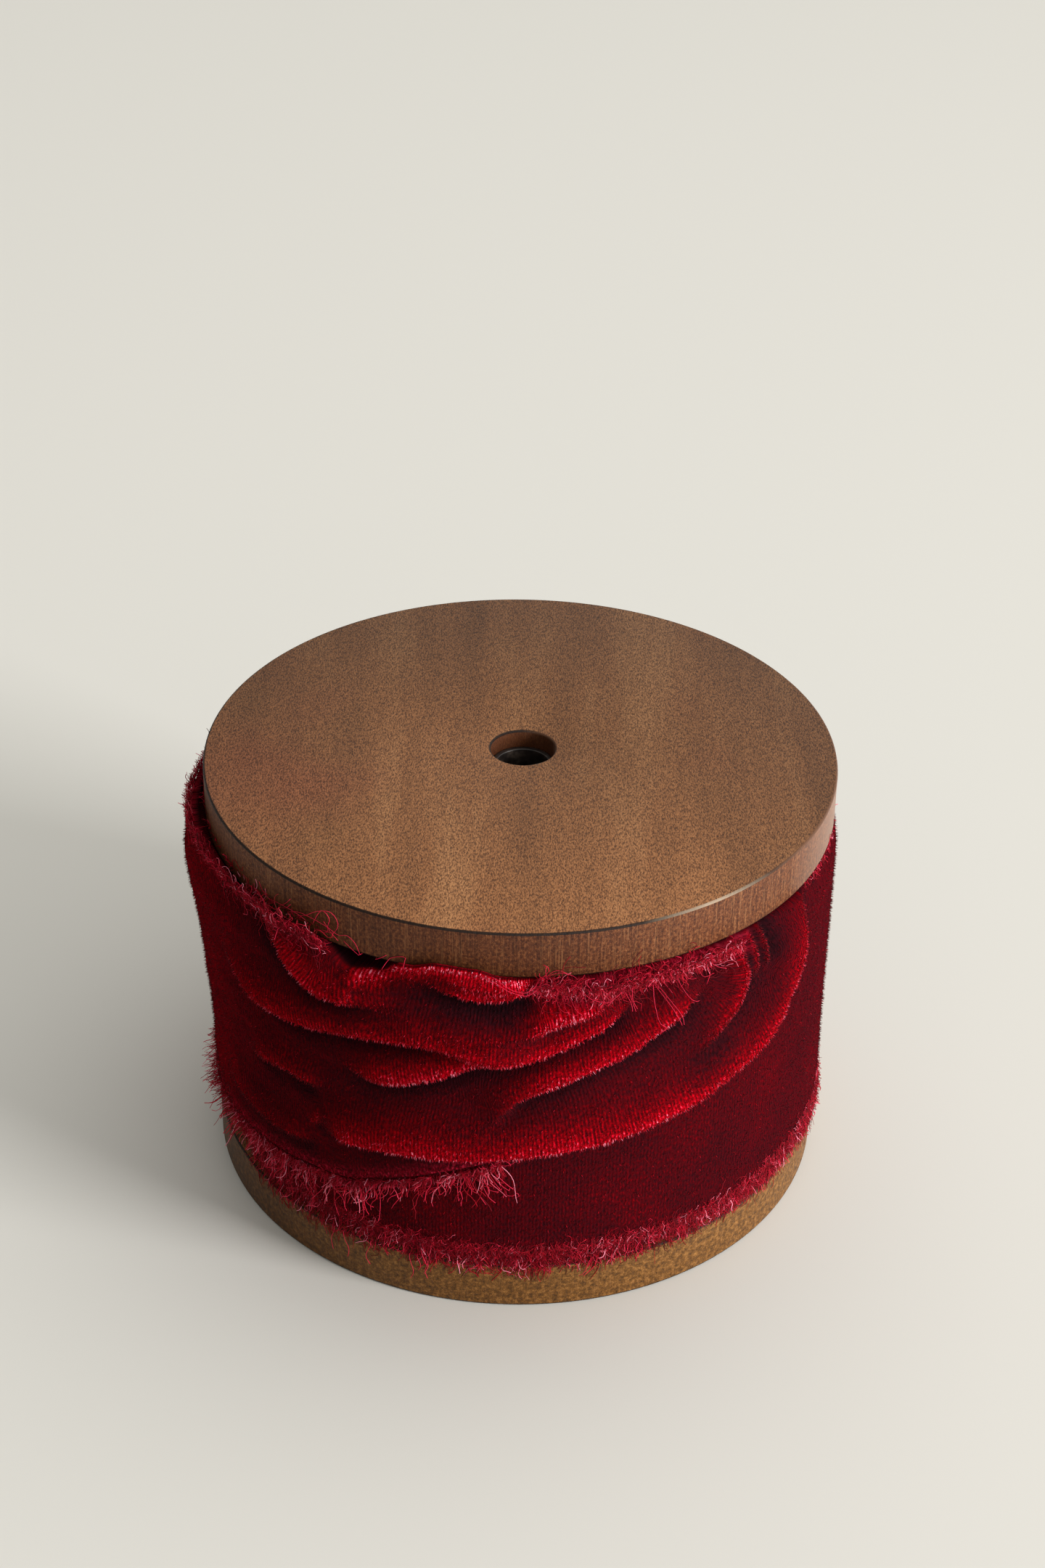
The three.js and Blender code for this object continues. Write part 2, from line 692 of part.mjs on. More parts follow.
const spool = new THREE.Group();
spool.add(named('spool_base', flangeGeometry(0, BASE_THICK), STAINED_WOOD));
spool.add(named('spool_tube', tubeGeometry(), TUBE_BOARD));
spool.add(named('spool_top', flangeGeometry(HEIGHT - TOP_THICK, HEIGHT), STAINED_WOOD));
spool.add(named('velvet_roll', skin(rollAngles().map(rollProfile), true), VELVET));
FRAYS.forEach((fray, i) => {
  spool.add(named(fray.name, frayGeometry(fray, 17 + i * 101), LOOSE_THREAD));
});

export default spool;
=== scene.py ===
# A torn crimson velvet ribbon wound on a stained wooden spool, on a pale studio floor.
# Sizes are millimetres until a mesh is made. Angles are degrees round the spool's axis: 0 faces
# the front, -Y, and 90 faces the right, +X.
import functools
import math

import bpy
import numpy as np
from mathutils import Matrix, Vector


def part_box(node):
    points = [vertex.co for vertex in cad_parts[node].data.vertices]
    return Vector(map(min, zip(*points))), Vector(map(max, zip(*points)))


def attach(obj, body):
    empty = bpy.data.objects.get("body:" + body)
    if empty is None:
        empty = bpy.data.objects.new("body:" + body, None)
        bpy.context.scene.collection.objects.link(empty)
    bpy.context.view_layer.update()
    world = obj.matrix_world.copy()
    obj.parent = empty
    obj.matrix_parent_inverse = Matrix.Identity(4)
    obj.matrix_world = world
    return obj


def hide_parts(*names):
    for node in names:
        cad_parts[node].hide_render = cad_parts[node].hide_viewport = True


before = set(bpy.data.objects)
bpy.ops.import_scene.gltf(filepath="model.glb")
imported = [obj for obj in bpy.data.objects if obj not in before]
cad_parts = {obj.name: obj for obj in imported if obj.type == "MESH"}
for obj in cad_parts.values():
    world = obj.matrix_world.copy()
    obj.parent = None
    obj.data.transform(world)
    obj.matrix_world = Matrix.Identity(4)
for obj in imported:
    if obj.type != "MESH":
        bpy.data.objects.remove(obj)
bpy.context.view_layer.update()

MM = 0.001
TO_MM = 1000


def node_box(node):
    """A CAD node's lowest and highest corners, in millimetres."""
    return [[value * TO_MM for value in corner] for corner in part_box(node)]


# Spool, from the frame
TOP_LOW, TOP_HIGH = node_box("spool_top")
BASE_LOW, BASE_HIGH = node_box("spool_base")
TUBE_LOW, TUBE_HIGH = node_box("spool_tube")
AXIS_X = (TOP_LOW[0] + TOP_HIGH[0]) / 2
FLANGE_R = (TOP_HIGH[0] - TOP_LOW[0]) / 2
HEIGHT = TOP_HIGH[2]
GAP = 0.3
ROLL_TOP = TOP_LOW[2] - GAP
ROLL_BOTTOM = BASE_HIGH[2] + GAP
BORE_R = 4.1
BORE_OFF = (0.3, 0.8)
TUBE_R = 12
TUBE_BORE_R = 3.5
LINER_DEPTH = 2.3
LINER_CLEAR = 0.1
LINER_REACH = 0.2
BOARD_ARRIS = 0.3
TUBE_ARRIS = 0.2
LINER_ARRIS = 0.12
BOARD_SIDES = 240
TUBE_SIDES = 96
ARRIS_STEPS = 3
ARRIS_ANGLE = 40
SMOOTH_ANGLE = 35

# Ribbon roll
FACE_BOTTOM = 7.6
BOTTOM_ROUND = 1.6
TOP_ROUND = 0.7
TURN_THICK = 1.1
LIP_THICK = 0.8
LIP_CLEAR = 0.5
LIP_RISE = 1.2
CORNER_CLEAR = 1.2
TUCK_START = 46
EDGE_EASE = 1.5
STEP_FROM, STEP_TO = -0.5, 0.4
UNDER_EDGE = 2.2
UNDER_CURL = 0.5
CURL_SHARE = 0.35
INNER_SLOPE = 0.7
INNER_FLAT = 5
RUN_PER_DEG = math.radians(1) * 42
GATHER = 0.5
GATHER_REACH = 1.8
LOW_Z, HIGH_Z = 10, 50

# Radius of the wound body at three heights, and how far its upper edge tucks in
RADII = {
    "angle": [-120, -82, -45, -12, 20, 48, 82, 120, 180, 240],
    "low": [40.0, 39.7, 39.6, 40.1, 40.3, 40.5, 40.7, 40.8, 41.0, 40.0],
    "middle": [41.2, 40.4, 40.3, 40.4, 40.5, 40.5, 40.7, 41.2, 42.2, 41.2],
    "high": [42.2, 42.6, 41.5, 40.8, 40.4, 40.4, 40.7, 41.0, 42.4, 42.2],
    "tuck": [1.0, 1.2, 1.2, 0.7, 1.1, 1.1, 0.8, 0.7, 0.9, 1.0],
}

# Height of the ribbon's upper edge, which stands outside the upper flange on the left
TOP_EDGE = {
    "angle": [-120, -102, -84, -68, -52, -40, -35, -29, -24, -19, -13, -7, -2, 4, 240],
    "z": [
        ROLL_TOP, 51.3, 52.1, 51.8, 51.2, 51.7, 51.2, 48.8, 49.3, 51.2, 52.3, 52.1, 51.2, ROLL_TOP,
        ROLL_TOP,
    ],
}

# Folds of the outer turn. crest holds the angle and height of the visible edge from its left or
# lower end, lift how far it stands out, droop how far it hangs over what is below it, valley how
# deep the hollow below it is, above and below the widths of its two slopes, fade the run over
# which it dies away at each end, glow how bright the painted highlight on it is, and dark how
# deep the painted shade below it is where that isn't as deep as the fold is high.
FOLDS = {
    "lowest": dict(
        dark=0.35, lift=1.8, droop=0.9, valley=0, above=3.4, below=0.9, fade=(6, 14), glow=1.0,
        crest=[
            (-36, 22.2), (-29, 23.2), (-15, 24.5), (0, 25.7), (15, 27.4), (28, 29.4), (38, 32),
            (45, 33.9), (49, 36.4), (52, 39.6), (54.5, 43.2), (57, 47), (60, 50.6), (62.5, 54),
        ],
    ),
    "middle": dict(
        lift=1.6, droop=0.9, valley=0.4, above=3.0, below=1.0, fade=(10, 6), glow=1.0,
        crest=[
            (-33, 34.4), (-26, 33.9), (-21, 34.5), (-14, 36.3), (-7, 38.8), (0, 40.2), (6.4, 41.7),
            (9.8, 43), (14.4, 44.5), (17.3, 45.6), (21, 46.8),
        ],
    ),
    "upper_left": dict(
        lift=1.8, droop=0.9, valley=0.6, above=2.8, below=1.2, fade=(14, 9), glow=0.8,
        crest=[
            (-64, 41), (-52, 39.4), (-40, 39), (-32, 40), (-24, 40.8), (-14, 41.6), (-6, 41.2), (2, 41.4),
            (7, 42.2),
        ],
    ),
    "right_diagonal": dict(
        lift=1.7, droop=0.8, valley=0.6, above=2.8, below=0.9, fade=(13, 7), glow=1.0,
        crest=[
            (-6, 28.5), (-2, 31), (0.6, 33.6), (3.2, 35.2), (7.6, 36.9), (11.7, 38.3), (18.7, 40.4),
            (22.3, 42.0), (26.7, 43.6), (30.5, 44.9), (34, 46.2),
        ],
    ),
    "short_diagonal": dict(
        lift=1.2, droop=0.6, valley=0.2, above=2.4, below=0.8, fade=(8, 5), glow=1.1,
        crest=[(-4, 43.6), (0, 44), (3, 44.4), (6.4, 45.6), (9.7, 46.4), (13.2, 47.1), (17, 48)],
    ),
    "top_lobe": dict(
        lift=1.0, droop=0.6, valley=0.3, above=2.2, below=0.8, fade=(9, 2), glow=0.9,
        crest=[(-19, 49.8), (-13, 49.0), (-7, 48.3), (-3, 48.3), (0, 48.8), (3, 50)],
    ),
    "top_left": dict(
        lift=1.5, droop=0.8, valley=0.4, above=2.6, below=1.0, fade=(4, 13), glow=0.9,
        crest=[
            (-51, 53), (-47.5, 52.2), (-44, 50.3), (-41, 48.2), (-38, 46.6), (-35, 45.2), (-31.5, 44.8),
            (-27, 44.9), (-21, 44.8), (-15, 44.2),
        ],
    ),
    "upright_finger": dict(
        dark=0.55, lift=0.9, droop=0.2, valley=0, above=2.8, below=1.1, fade=(11, 0), glow=0.75,
        crest=[
            (27, 36.2), (31, 36.8), (34.1, 37.8), (37.2, 40.1), (40, 42.8), (40.9, 45.8), (40.2, 48.8),
            (38.4, 52),
        ],
    ),
    "inner_pleat": dict(
        lift=0.6, droop=0.1, valley=0.2, above=1.0, below=0.6, fade=(3, 0), glow=0.6,
        crest=[(43.2, 43.6), (43.5, 46.4), (43.4, 49), (42.6, 52)],
    ),
    "outer_pleat": dict(
        lift=0.6, droop=0.1, valley=0.2, above=1.2, below=0.6, fade=(3, 0), glow=0.5,
        crest=[(45.8, 44), (46.2, 47.8), (45.4, 52)],
    ),
    "left_soft": dict(
        lift=0.9, droop=0.4, valley=0.2, above=2.2, below=1.1, fade=(5, 4), glow=0.6,
        crest=[(-54, 28), (-47, 29.2), (-41, 29.9), (-33, 29.2)],
    ),
    "left_low": dict(
        lift=0.8, droop=0.2, valley=0, above=2.6, below=1.2, fade=(6, 3), glow=0.3,
        crest=[(-66, 19.6), (-52, 19.2), (-43, 19.3), (-36, 20.2)],
    ),
    "back_one": dict(
        lift=0.8, droop=0, valley=0, above=4, below=2.5, fade=(8, 8), glow=0.3,
        crest=[(96, 33), (120, 36), (150, 35)],
    ),
    "back_two": dict(
        lift=0.7, droop=0, valley=0, above=4, below=2.5, fade=(8, 8), glow=0.3,
        crest=[(130, 23), (165, 26), (200, 25)],
    ),
    "back_three": dict(
        lift=0.9, droop=0, valley=0, above=4, below=2.5, fade=(8, 8), glow=0.3,
        crest=[(168, 40), (200, 43), (234, 41)],
    ),
    "back_four": dict(
        lift=0.7, droop=0, valley=0, above=4, below=2.5, fade=(8, 8), glow=0.3,
        crest=[(186, 17), (212, 16), (236, 18)],
    ),
}

# Small creases between the folds
CREASES = {
    "lobe_crease": dict(
        lift=0.4, droop=0.2, valley=0.15, above=0.8, below=0.5, fade=(3, 2), glow=0.7,
        crest=[(-13, 50.9), (-8, 50.3), (-4, 49.9), (0, 49.9)],
    ),
    "tail_crease": dict(
        lift=0.4, droop=0.1, valley=0.1, above=1.1, below=0.7, fade=(1, 2), glow=0.5,
        crest=[(-37.5, 22.6), (-35, 24.6), (-33.5, 26.4)],
    ),
    "cheek_crease": dict(
        lift=0.35, droop=0.1, valley=0.1, above=1.2, below=0.8, fade=(2, 2), glow=0.6,
        crest=[(-29.5, 44.9), (-27.8, 46.6), (-26, 48.8)],
    ),
    "rib_crease": dict(
        lift=0.3, droop=0.1, valley=0.1, above=1.3, below=0.8, fade=(4, 4), glow=0.4,
        crest=[(-14, 44.2), (-6, 43.9), (1, 44.4), (6, 45.2)],
    ),
}

# Lower border of the outer turn: its torn edge on the left, then the folded edge that climbs on
# the right until it is tucked under the upper flange
TURN_BORDER = dict(
    droop=0, fade=(18, 0),
    crest=[
        (-96, 11.8), (-68, 13.2), (-50, 14.0), (-40, 15.1), (-30, 16.2), (-24, 17.9), (-16, 20.2),
        (-8, 22.6), (0, 24.4), (15, 26.8), (28, 28.8), (38, 31.4), (45.5, 33.3), (50, 36),
        (53, 39.6), (55.6, 43.5), (58, 47.3), (61, 51), (63.5, 54),
    ],
)

# Rows of the cloth's mesh that lie along crests, from the lowest up, and the steps below each
FIRST_ANGLE = -120
LAST_ANGLE = 240
BOTTOM_EDGE = dict(droop=0, crest=[(FIRST_ANGLE, 10), (LAST_ANGLE, 10)])
ROW_GUIDES = [
    ([BOTTOM_EDGE], 10),
    ([TURN_BORDER], 16),
    ([FOLDS["left_low"], FOLDS["lowest"]], 20),
    ([FOLDS["left_soft"], FOLDS["right_diagonal"]], 32),
    ([FOLDS["middle"]], 28),
    ([FOLDS["upper_left"], FOLDS["short_diagonal"]], 28),
    ([FOLDS["top_left"], FOLDS["top_lobe"]], 22),
]
TOP_STEPS = 26
GUIDE_LAST_ANGLE = 52
GUIDE_LEAD = 18
GUIDE_JOIN = 5
GUIDE_APART = 0.8
ROW_CROWDING = 0.5
CREST_STEPS = 6
FRONT_FROM, FRONT_TO = -100, 70
FRONT_STEP = 0.5
BACK_STEP = 1.5
SEAM = 0.001

# Unevenness of the cloth, as waves: depth, length along the run, length up the cloth, and seed
EDGE_RIPPLES = [(0.14, 3, 9, 7), (0.03, 0.8, 7, 8)]
PUCKERS = [(0.16, 9, 2.3, 3), (0.07, 4, 1.1, 4)]
LIE_OF_TURNS = [(0.12, 14, 12, 5)]
# How far the folds, and the puckers between them, have climbed at each angle
CLIMB = {"angle": [-60, -20, 0, 20, 45], "z": [0, 1.6, 3.6, 6.2, 11]}
RELIEF_EASE = 3

# Where painted light and shade lie on a fold, as distances from its crest: the painted highlight on
# the slope above it, thinner towards the right, the painted bright rim on it and the painted shade below it
LIT_FROM, LIT_TO = -0.8, -0.2
LIT_WIDE = 0.78
LIT_THINNER = 0.3
THINNER_FROM, THINNER_TO = 8, 34
LIT_FALL = 1.4
RIM_AT, RIM_WIDE = -0.45, 0.4
DEEP_FROM, DEEP_TO = 0.1, 1.2
DEEP_LONG = 2.4
# How far a fold turns the pile's rows to run across it, against the rows' own course
ROWS_REACH = 5
ROWS_OWN = 0.25

# Torn cloth, where raw threads show instead of pile, and how far in from each edge it reaches
TORN_UNTIL = 0
TORN_FADE = 4
TURN_TORN_AT, TURN_TORN_WIDE = 0.5, 1.1
BOTTOM_TORN_WIDE = 1.6
LIP_TORN_UNTIL, LIP_TORN_FADE = -30, 8
LIP_TORN_WIDE = 0.9
RAW_BAND = dict(rise=(3, 9), fall=(40, 45), low=(47.9, 48.9), share=0.9)
# A painted highlight and bright rim along the upper edge's roll, left of the middle
TOP_ROLL = dict(rise=(-32, -26), fall=(0, 6), glow=1.1, wide=1.8, edge=0.6, thin=0.35)

# What each thing adds to the pile's painted tone, and where: painted highlights and bright rims on the
# folds, dimmer on the right, painted light on the left, painted shade on the right and below the folds,
# and lighter along the bottom; from 0, looked into, to 1, at a lit tip
TONES = dict(
    flat=0.32, glow=0.41, edge=0.08, under_turn=0.03, glow_right=-0.03, left=0.1, bottom=0.24,
    right=-0.07, shade=-0.36,
)
GLOW_RIGHT = (12, 40)
LEFT_LIGHT = dict(rise=(-130, -100), fall=(-72, -50))
RIGHT_SHADE = dict(rise=(25, 65), fall=(120, 160))
BOTTOM_LIGHT_AT, BOTTOM_LIGHT_WIDE = 0.5, 1.3
DARKEST = 0.02
# Tone of the roll's top and bottom faces: dark, as painted shade in the gap under the upper flange
HIDDEN_SHADE_TONE = 0.04

# Pile: it stands in rows across the ribbon, in tufts that lean and hang a little
PILE_ROW = 0.47
PILE_LONG = 0.4
PILE_WIDE = 0.055
PILE_RISE = 0.3
PILE_HANG = 0.5
PILE_DENSITY = dict(flat=0.5, glow=1.4, edge=3, torn=0.8)
PILE_TO_ROW = 0.3
PILE_ASTRAY = 0.9
PILE_LEAST_STEP = 0.25
PILE_LEAN = 0.28
PILE_DOWN = 0.35
PILE_SPREAD = (0.55, 1.15)
PILE_EDGE_LONGER = 0.25
PILE_ROOT = 0.08
# Painted highlights: a share of tufts, more on the folds' painted rims, drawn brighter and a little thicker
# as glints
GLINTS, EDGE_GLINTS = 0.045, 0.22
GLINT_WIDE = 1.3
GLINT_TONE = 0.35
# A tuft's tone is the face's painted tone, darker at its root and lighter at its tip, the tip more so on
# painted highlights and rims
ROOT_TONE = -0.12
TIP_TONE = dict(flat=0.17, glow=0.12, edge=0.14, spread=0.15)
# Stretches of standing pile: first and last angle, how many tufts, and seed
PILES = {
    "front_pile": (FRONT_FROM, FRONT_TO, 48000, 21),
    "back_pile_right": (FRONT_TO, 155, 11000, 22),
    "back_pile_left": (155, LAST_ANGLE, 11000, 23),
}


def smooth(value, low, high):
    """Eased step from 0 at low to 1 at high."""
    t = np.clip((value - low) / (high - low), 0, 1)
    return t * t * (3 - 2 * t)


def within(value, rise, fall):
    """Eased to 1 over rise and back to 0 over fall."""
    return smooth(value, *rise) * smooth(fall[1] - value, 0, fall[1] - fall[0])


def hump(value, wide):
    return np.exp(-((value / wide) ** 2))


def mix(a, b, t):
    return a + (b - a) * t


def column(table, angle, key):
    """Value of one column of a table at each angle, eased from row to row."""
    angles = np.array(table["angle"], float)
    values = np.array(table[key], float)
    i = np.clip(np.searchsorted(angles, angle, side="right"), 1, len(angles) - 1)
    t = smooth(angle, angles[i - 1], angles[i])
    return mix(values[i - 1], values[i], t)


def soft_noise(x, y, seed):
    """Smooth noise from -1 to 1 with about one lump to the unit."""
    size = 256
    table = np.random.default_rng(seed).uniform(-1, 1, (size, size))
    xi = np.floor(x).astype(int)
    yi = np.floor(y).astype(int)
    fx = smooth(x - xi, 0, 1)
    fy = smooth(y - yi, 0, 1)
    low = mix(table[xi % size, yi % size], table[(xi + 1) % size, yi % size], fx)
    high = mix(table[xi % size, (yi + 1) % size], table[(xi + 1) % size, (yi + 1) % size], fx)
    return mix(low, high, fy)


def unevenness(waves, run, z):
    return sum(depth * soft_noise(run / long, z / high, seed) for depth, long, high, seed in waves)


def polar(angle, r, z):
    a = np.radians(angle)
    return np.stack([AXIS_X + r * np.sin(a), -r * np.cos(a), z + 0 * a], -1)


def spline(points, per_span):
    """A smooth curve through points, with evenly spaced points of its own."""
    p = np.array(points, float)
    p = np.vstack([p[:1], p, p[-1:]])
    t = np.linspace(0, 1, 12, endpoint=False)[:, None]
    spans = []
    for a, b, c, d in zip(p[:-3], p[1:-2], p[2:-1], p[3:]):
        start = (c - a) / 2
        end = (d - b) / 2
        cubic = 2 * b - 2 * c + start + end
        square = 3 * c - 3 * b - 2 * start - end
        spans.append(cubic * t ** 3 + square * t ** 2 + start * t + b)
    curve = np.vstack([*spans, p[-1:]])
    along = np.concatenate([[0], np.cumsum(np.linalg.norm(np.diff(curve, axis=0), axis=1))])
    even = np.linspace(0, along[-1], (len(points) - 1) * per_span + 1)
    return np.stack([np.interp(even, along, axis) for axis in curve.T], -1)


class CrestLine:
    """A fold's edge in the unrolled cloth: run along the roll and height, in millimetres."""

    def __init__(self, crest, fade, droop, **shape):
        self.points = spline(np.array(crest, float) * (RUN_PER_DEG, 1), CREST_STEPS)
        self.steps = np.diff(self.points, axis=0)
        self.lengths = np.linalg.norm(self.steps, axis=1)
        self.starts = np.concatenate([[0], np.cumsum(self.lengths)])
        self.fade = fade
        self.droop = droop
        self.pile = PILE_HANG if shape else 0
        self.shape = shape

    def near(self, run, z):
        """Signed distance to the line before it droops, its normal, run along it and strength."""
        at = np.stack([run, z], -1)
        nearest = np.concatenate([
            ((part[:, None] - self.points) ** 2).sum(-1).argmin(1)
            for part in np.array_split(at, 32)
        ])
        far = np.full(len(at), np.inf)
        off = np.zeros(len(at))
        along = np.zeros(len(at))
        normal = np.zeros((len(at), 2))
        for back in (1, 0):
            i = np.clip(nearest - back, 0, len(self.steps) - 1)
            step = self.steps[i]
            from_start = at - self.points[i]
            t = np.clip((from_start * step).sum(-1) / self.lengths[i] ** 2, 0, 1)
            gap = from_start - step * t[:, None]
            distance = np.linalg.norm(gap, axis=1)
            across = np.stack([-step[:, 1], step[:, 0]], -1) / self.lengths[i][:, None]
            side = np.where((gap * across).sum(-1) < 0, -1, 1)
            closer = distance < far
            far = np.where(closer, distance, far)
            off = np.where(closer, side * distance - self.droop - self.pile, off)
            along = np.where(closer, self.starts[i] + t * self.lengths[i], along)
            normal = np.where(closer[:, None], across, normal)
        strength = np.ones(len(at))
        for fade, to_end in zip(self.fade, (along, self.starts[-1] - along)):
            if fade:
                strength = strength * smooth(to_end, 0, fade)
        return off, normal, along, strength


def bell(off, above, below):
    return hump(off, np.where(off > 0, above, below))


def hollow(off, below):
    return hump(off + 2.2 * below, 1.2 * below)


FOLD_LINES = [CrestLine(**fold) for fold in (FOLDS | CREASES).values()]
BORDER_LINE = CrestLine(**TURN_BORDER)


def body_radius(angle, z):
    """Radius at the pile's roots, bowed between the lower and upper radius."""
    low, middle, high = (column(RADII, angle, key) for key in ("low", "middle", "high"))
    t = (z - LOW_Z) / (HIGH_Z - LOW_Z)
    bow = middle - (low + high) / 2
    return low + (high - low) * t + 4 * bow * t * (1 - t) - PILE_RISE


def rounding(distance, radius):
    """How far a rounded edge falls back at a distance from the edge."""
    inside = np.clip(radius - distance, 0, radius)
    return radius - np.sqrt(radius * radius - inside * inside)


def gathers(run, z, turn):
    """Slight puckers that follow the folds, and the uneven lie of the turns under them."""
    flow = z - np.interp(run / RUN_PER_DEG, CLIMB["angle"], CLIMB["z"])
    return unevenness(PUCKERS, run, flow) * turn + unevenness(LIE_OF_TURNS, run, z)


def torn_cloth(angle, z, top, border_off, border_strength):
    """Where raw threads show: along the outer turn's edge, the bottom, the lip and a bare band."""
    turn_edge = smooth(TORN_UNTIL - angle, 0, TORN_FADE) * border_strength
    torn = turn_edge * hump(border_off - TURN_TORN_AT, TURN_TORN_WIDE)
    torn = np.maximum(torn, hump(z - FACE_BOTTOM, BOTTOM_TORN_WIDE))
    lip_edge = smooth(top, ROLL_TOP + 0.2, ROLL_TOP + LIP_RISE)
    lip_edge = lip_edge * smooth(LIP_TORN_UNTIL - angle, 0, LIP_TORN_FADE)
    torn = np.maximum(torn, lip_edge * hump(top - z, LIP_TORN_WIDE))
    raw_band = within(angle, RAW_BAND["rise"], RAW_BAND["fall"]) * smooth(z, *RAW_BAND["low"])
    return np.maximum(torn, RAW_BAND["share"] * raw_band)


def lay_cloth(angle, z, top):
    """The ribbon's outer face: where each point lies, and what its pile looks like there."""
    ease = smooth(top - z, 0, EDGE_EASE) * smooth(z - FACE_BOTTOM, 0, EDGE_EASE)
    run = angle * RUN_PER_DEG
    height = z.copy()
    for line in FOLD_LINES:
        off, normal, along, strength = line.near(run, height)
        pull = -off * GATHER * normal[:, 0] ** 2 * ease * strength
        pull *= hump(off, GATHER_REACH)
        run = run + pull * normal[:, 0]
        height = height + pull * normal[:, 1]
    r = body_radius(run / RUN_PER_DEG, height)
    border_off, _, _, border_strength = BORDER_LINE.near(run, height)
    turn = border_strength * smooth(border_off, STEP_FROM, STEP_TO)
    r += TURN_THICK * turn
    ripple = unevenness(EDGE_RIPPLES, run, height)
    thinner = LIT_WIDE - LIT_THINNER * smooth(angle, THINNER_FROM, THINNER_TO)
    glow, edge, shade, ahead, shift_run, shift_z = np.zeros((6, len(r)))
    weight = np.full(len(r), ROWS_OWN)
    for line in FOLD_LINES:
        shape = line.shape
        off, normal, along, strength = line.near(run, height)
        worn = off + ripple * ease
        r += shape["lift"] * strength * bell(worn, shape["above"], shape["below"])
        r -= shape["valley"] * strength * hollow(off, shape["below"])
        hang = line.droop * strength * ease * bell(off, shape["above"] * 0.5, shape["below"] * 0.9)
        shift_run -= hang * normal[:, 0]
        shift_z -= hang * normal[:, 1]
        falling = np.clip(worn, 0, None) / (shape["above"] * thinner)
        bright = smooth(worn, LIT_FROM, LIT_TO) * np.exp(-(falling ** LIT_FALL))
        glow = np.maximum(glow, shape["glow"] * strength * bright)
        edge = np.maximum(edge, shape["glow"] * strength * hump(worn - RIM_AT, RIM_WIDE))
        deep = smooth(-off, DEEP_FROM, DEEP_TO) * hump(np.clip(-off - DEEP_TO, 0, None), DEEP_LONG)
        shade = np.maximum(shade, shape.get("dark", min(1, shape["lift"])) * strength * deep)
        close = strength * hump(off, ROWS_REACH)
        ahead += close * (along + line.points[0, 0] - run)
        weight += close
    rows = run + turn * ahead / weight
    run = run + shift_run
    height = height + shift_z
    r += gathers(run, height, turn) * (ease * smooth(ROLL_TOP - height, 0, RELIEF_EASE))
    r -= column(RADII, angle, "tuck") * smooth(height, TUCK_START, top)
    r -= rounding(z - FACE_BOTTOM, BOTTOM_ROUND) + rounding(top - z, TOP_ROUND)
    clear = FLANGE_R + LIP_CLEAR + LIP_THICK
    lipped = mix(r, np.maximum(r, clear), smooth(top, ROLL_TOP, ROLL_TOP + LIP_RISE))
    r = np.where(height > ROLL_TOP - 2 * GAP, lipped, r)
    top_roll = within(angle, TOP_ROLL["rise"], TOP_ROLL["fall"])
    glow = np.maximum(glow, TOP_ROLL["glow"] * top_roll * hump(top - z, TOP_ROLL["wide"]))
    edge = np.maximum(edge, TOP_ROLL["edge"] * top_roll * hump(top - z, TOP_ROLL["thin"]))
    torn = torn_cloth(angle, z, top, border_off, border_strength)
    looks = {"glow": glow, "edge": edge, "shade": shade, "torn": torn, "turn": turn}
    return run / RUN_PER_DEG, r, height, rows, looks


def guide_height(table, angle, even):
    """Height of a row guide at an angle, easing to the even height past its ends."""
    first = table[0]
    last = table[-1]
    if angle <= first[0]:
        return mix(first[1], even, float(smooth(first[0] - angle, 0, GUIDE_LEAD)))
    if angle >= last[0]:
        return mix(last[1], even, float(smooth(angle - last[0], 0, GUIDE_LEAD)))
    return float(np.interp(angle, [row[0] for row in table], [row[1] for row in table]))


def guide_table(folds):
    """Angles and heights of a row guide, on the crests before they droop."""
    table = []
    for fold in folds:
        first = fold["crest"][0][0]
        table = [row for row in table if row[0] < first - GUIDE_JOIN]
        for angle, z in fold["crest"]:
            if angle <= GUIDE_LAST_ANGLE or angle == LAST_ANGLE:
                table.append((angle, z + fold["droop"]))
    return table


GUIDE_TABLES = [guide_table(folds) for folds, _ in ROW_GUIDES]
GUIDE_STEPS = [steps for _, steps in ROW_GUIDES] + [TOP_STEPS]


def row_heights(angle, top):
    """Heights of the mesh's rows at an angle, crowded towards the guides."""
    marks = [FACE_BOTTOM]
    passed = 0
    for table, steps in zip(GUIDE_TABLES, GUIDE_STEPS):
        passed += steps
        even = mix(FACE_BOTTOM, top, passed / sum(GUIDE_STEPS))
        marks.append(max(guide_height(table, angle, even), marks[-1] + GUIDE_APART))
    marks.append(top)
    for i in range(len(marks) - 2, 0, -1):
        marks[i] = min(marks[i], marks[i + 1] - GUIDE_APART)
    heights = [FACE_BOTTOM]
    for low, high, steps in zip(marks, marks[1:], GUIDE_STEPS):
        t = np.arange(1, steps + 1) / steps
        crowded = t - ROW_CROWDING * np.sin(2 * np.pi * t) / (2 * np.pi)
        heights.extend(mix(low, high, crowded))
    return np.array(heights)


def link(name, data):
    """A new object at the origin that holds a mesh, camera or light."""
    piece = bpy.data.objects.new(name, data)
    bpy.context.scene.collection.objects.link(piece)
    return piece


def point_values(mesh, name, values):
    """A number for each of a mesh's points, for a material to read."""
    layer = mesh.attributes.new(name, "FLOAT", "POINT")
    layer.data.foreach_set("value", values.astype(np.float32).ravel())


def joined_mesh(name, points, faces, tone):
    """One mesh of many small pieces, with a tone for each point."""
    mesh = bpy.data.meshes.new(name)
    mesh.from_pydata((points * MM).tolist(), [], faces)
    point_values(mesh, "tone", tone)
    mesh.polygons.foreach_set("use_smooth", np.ones(len(mesh.polygons), bool))
    mesh.update()
    return link(name, mesh)


def unit(vectors):
    return vectors / np.linalg.norm(vectors, axis=-1, keepdims=True)


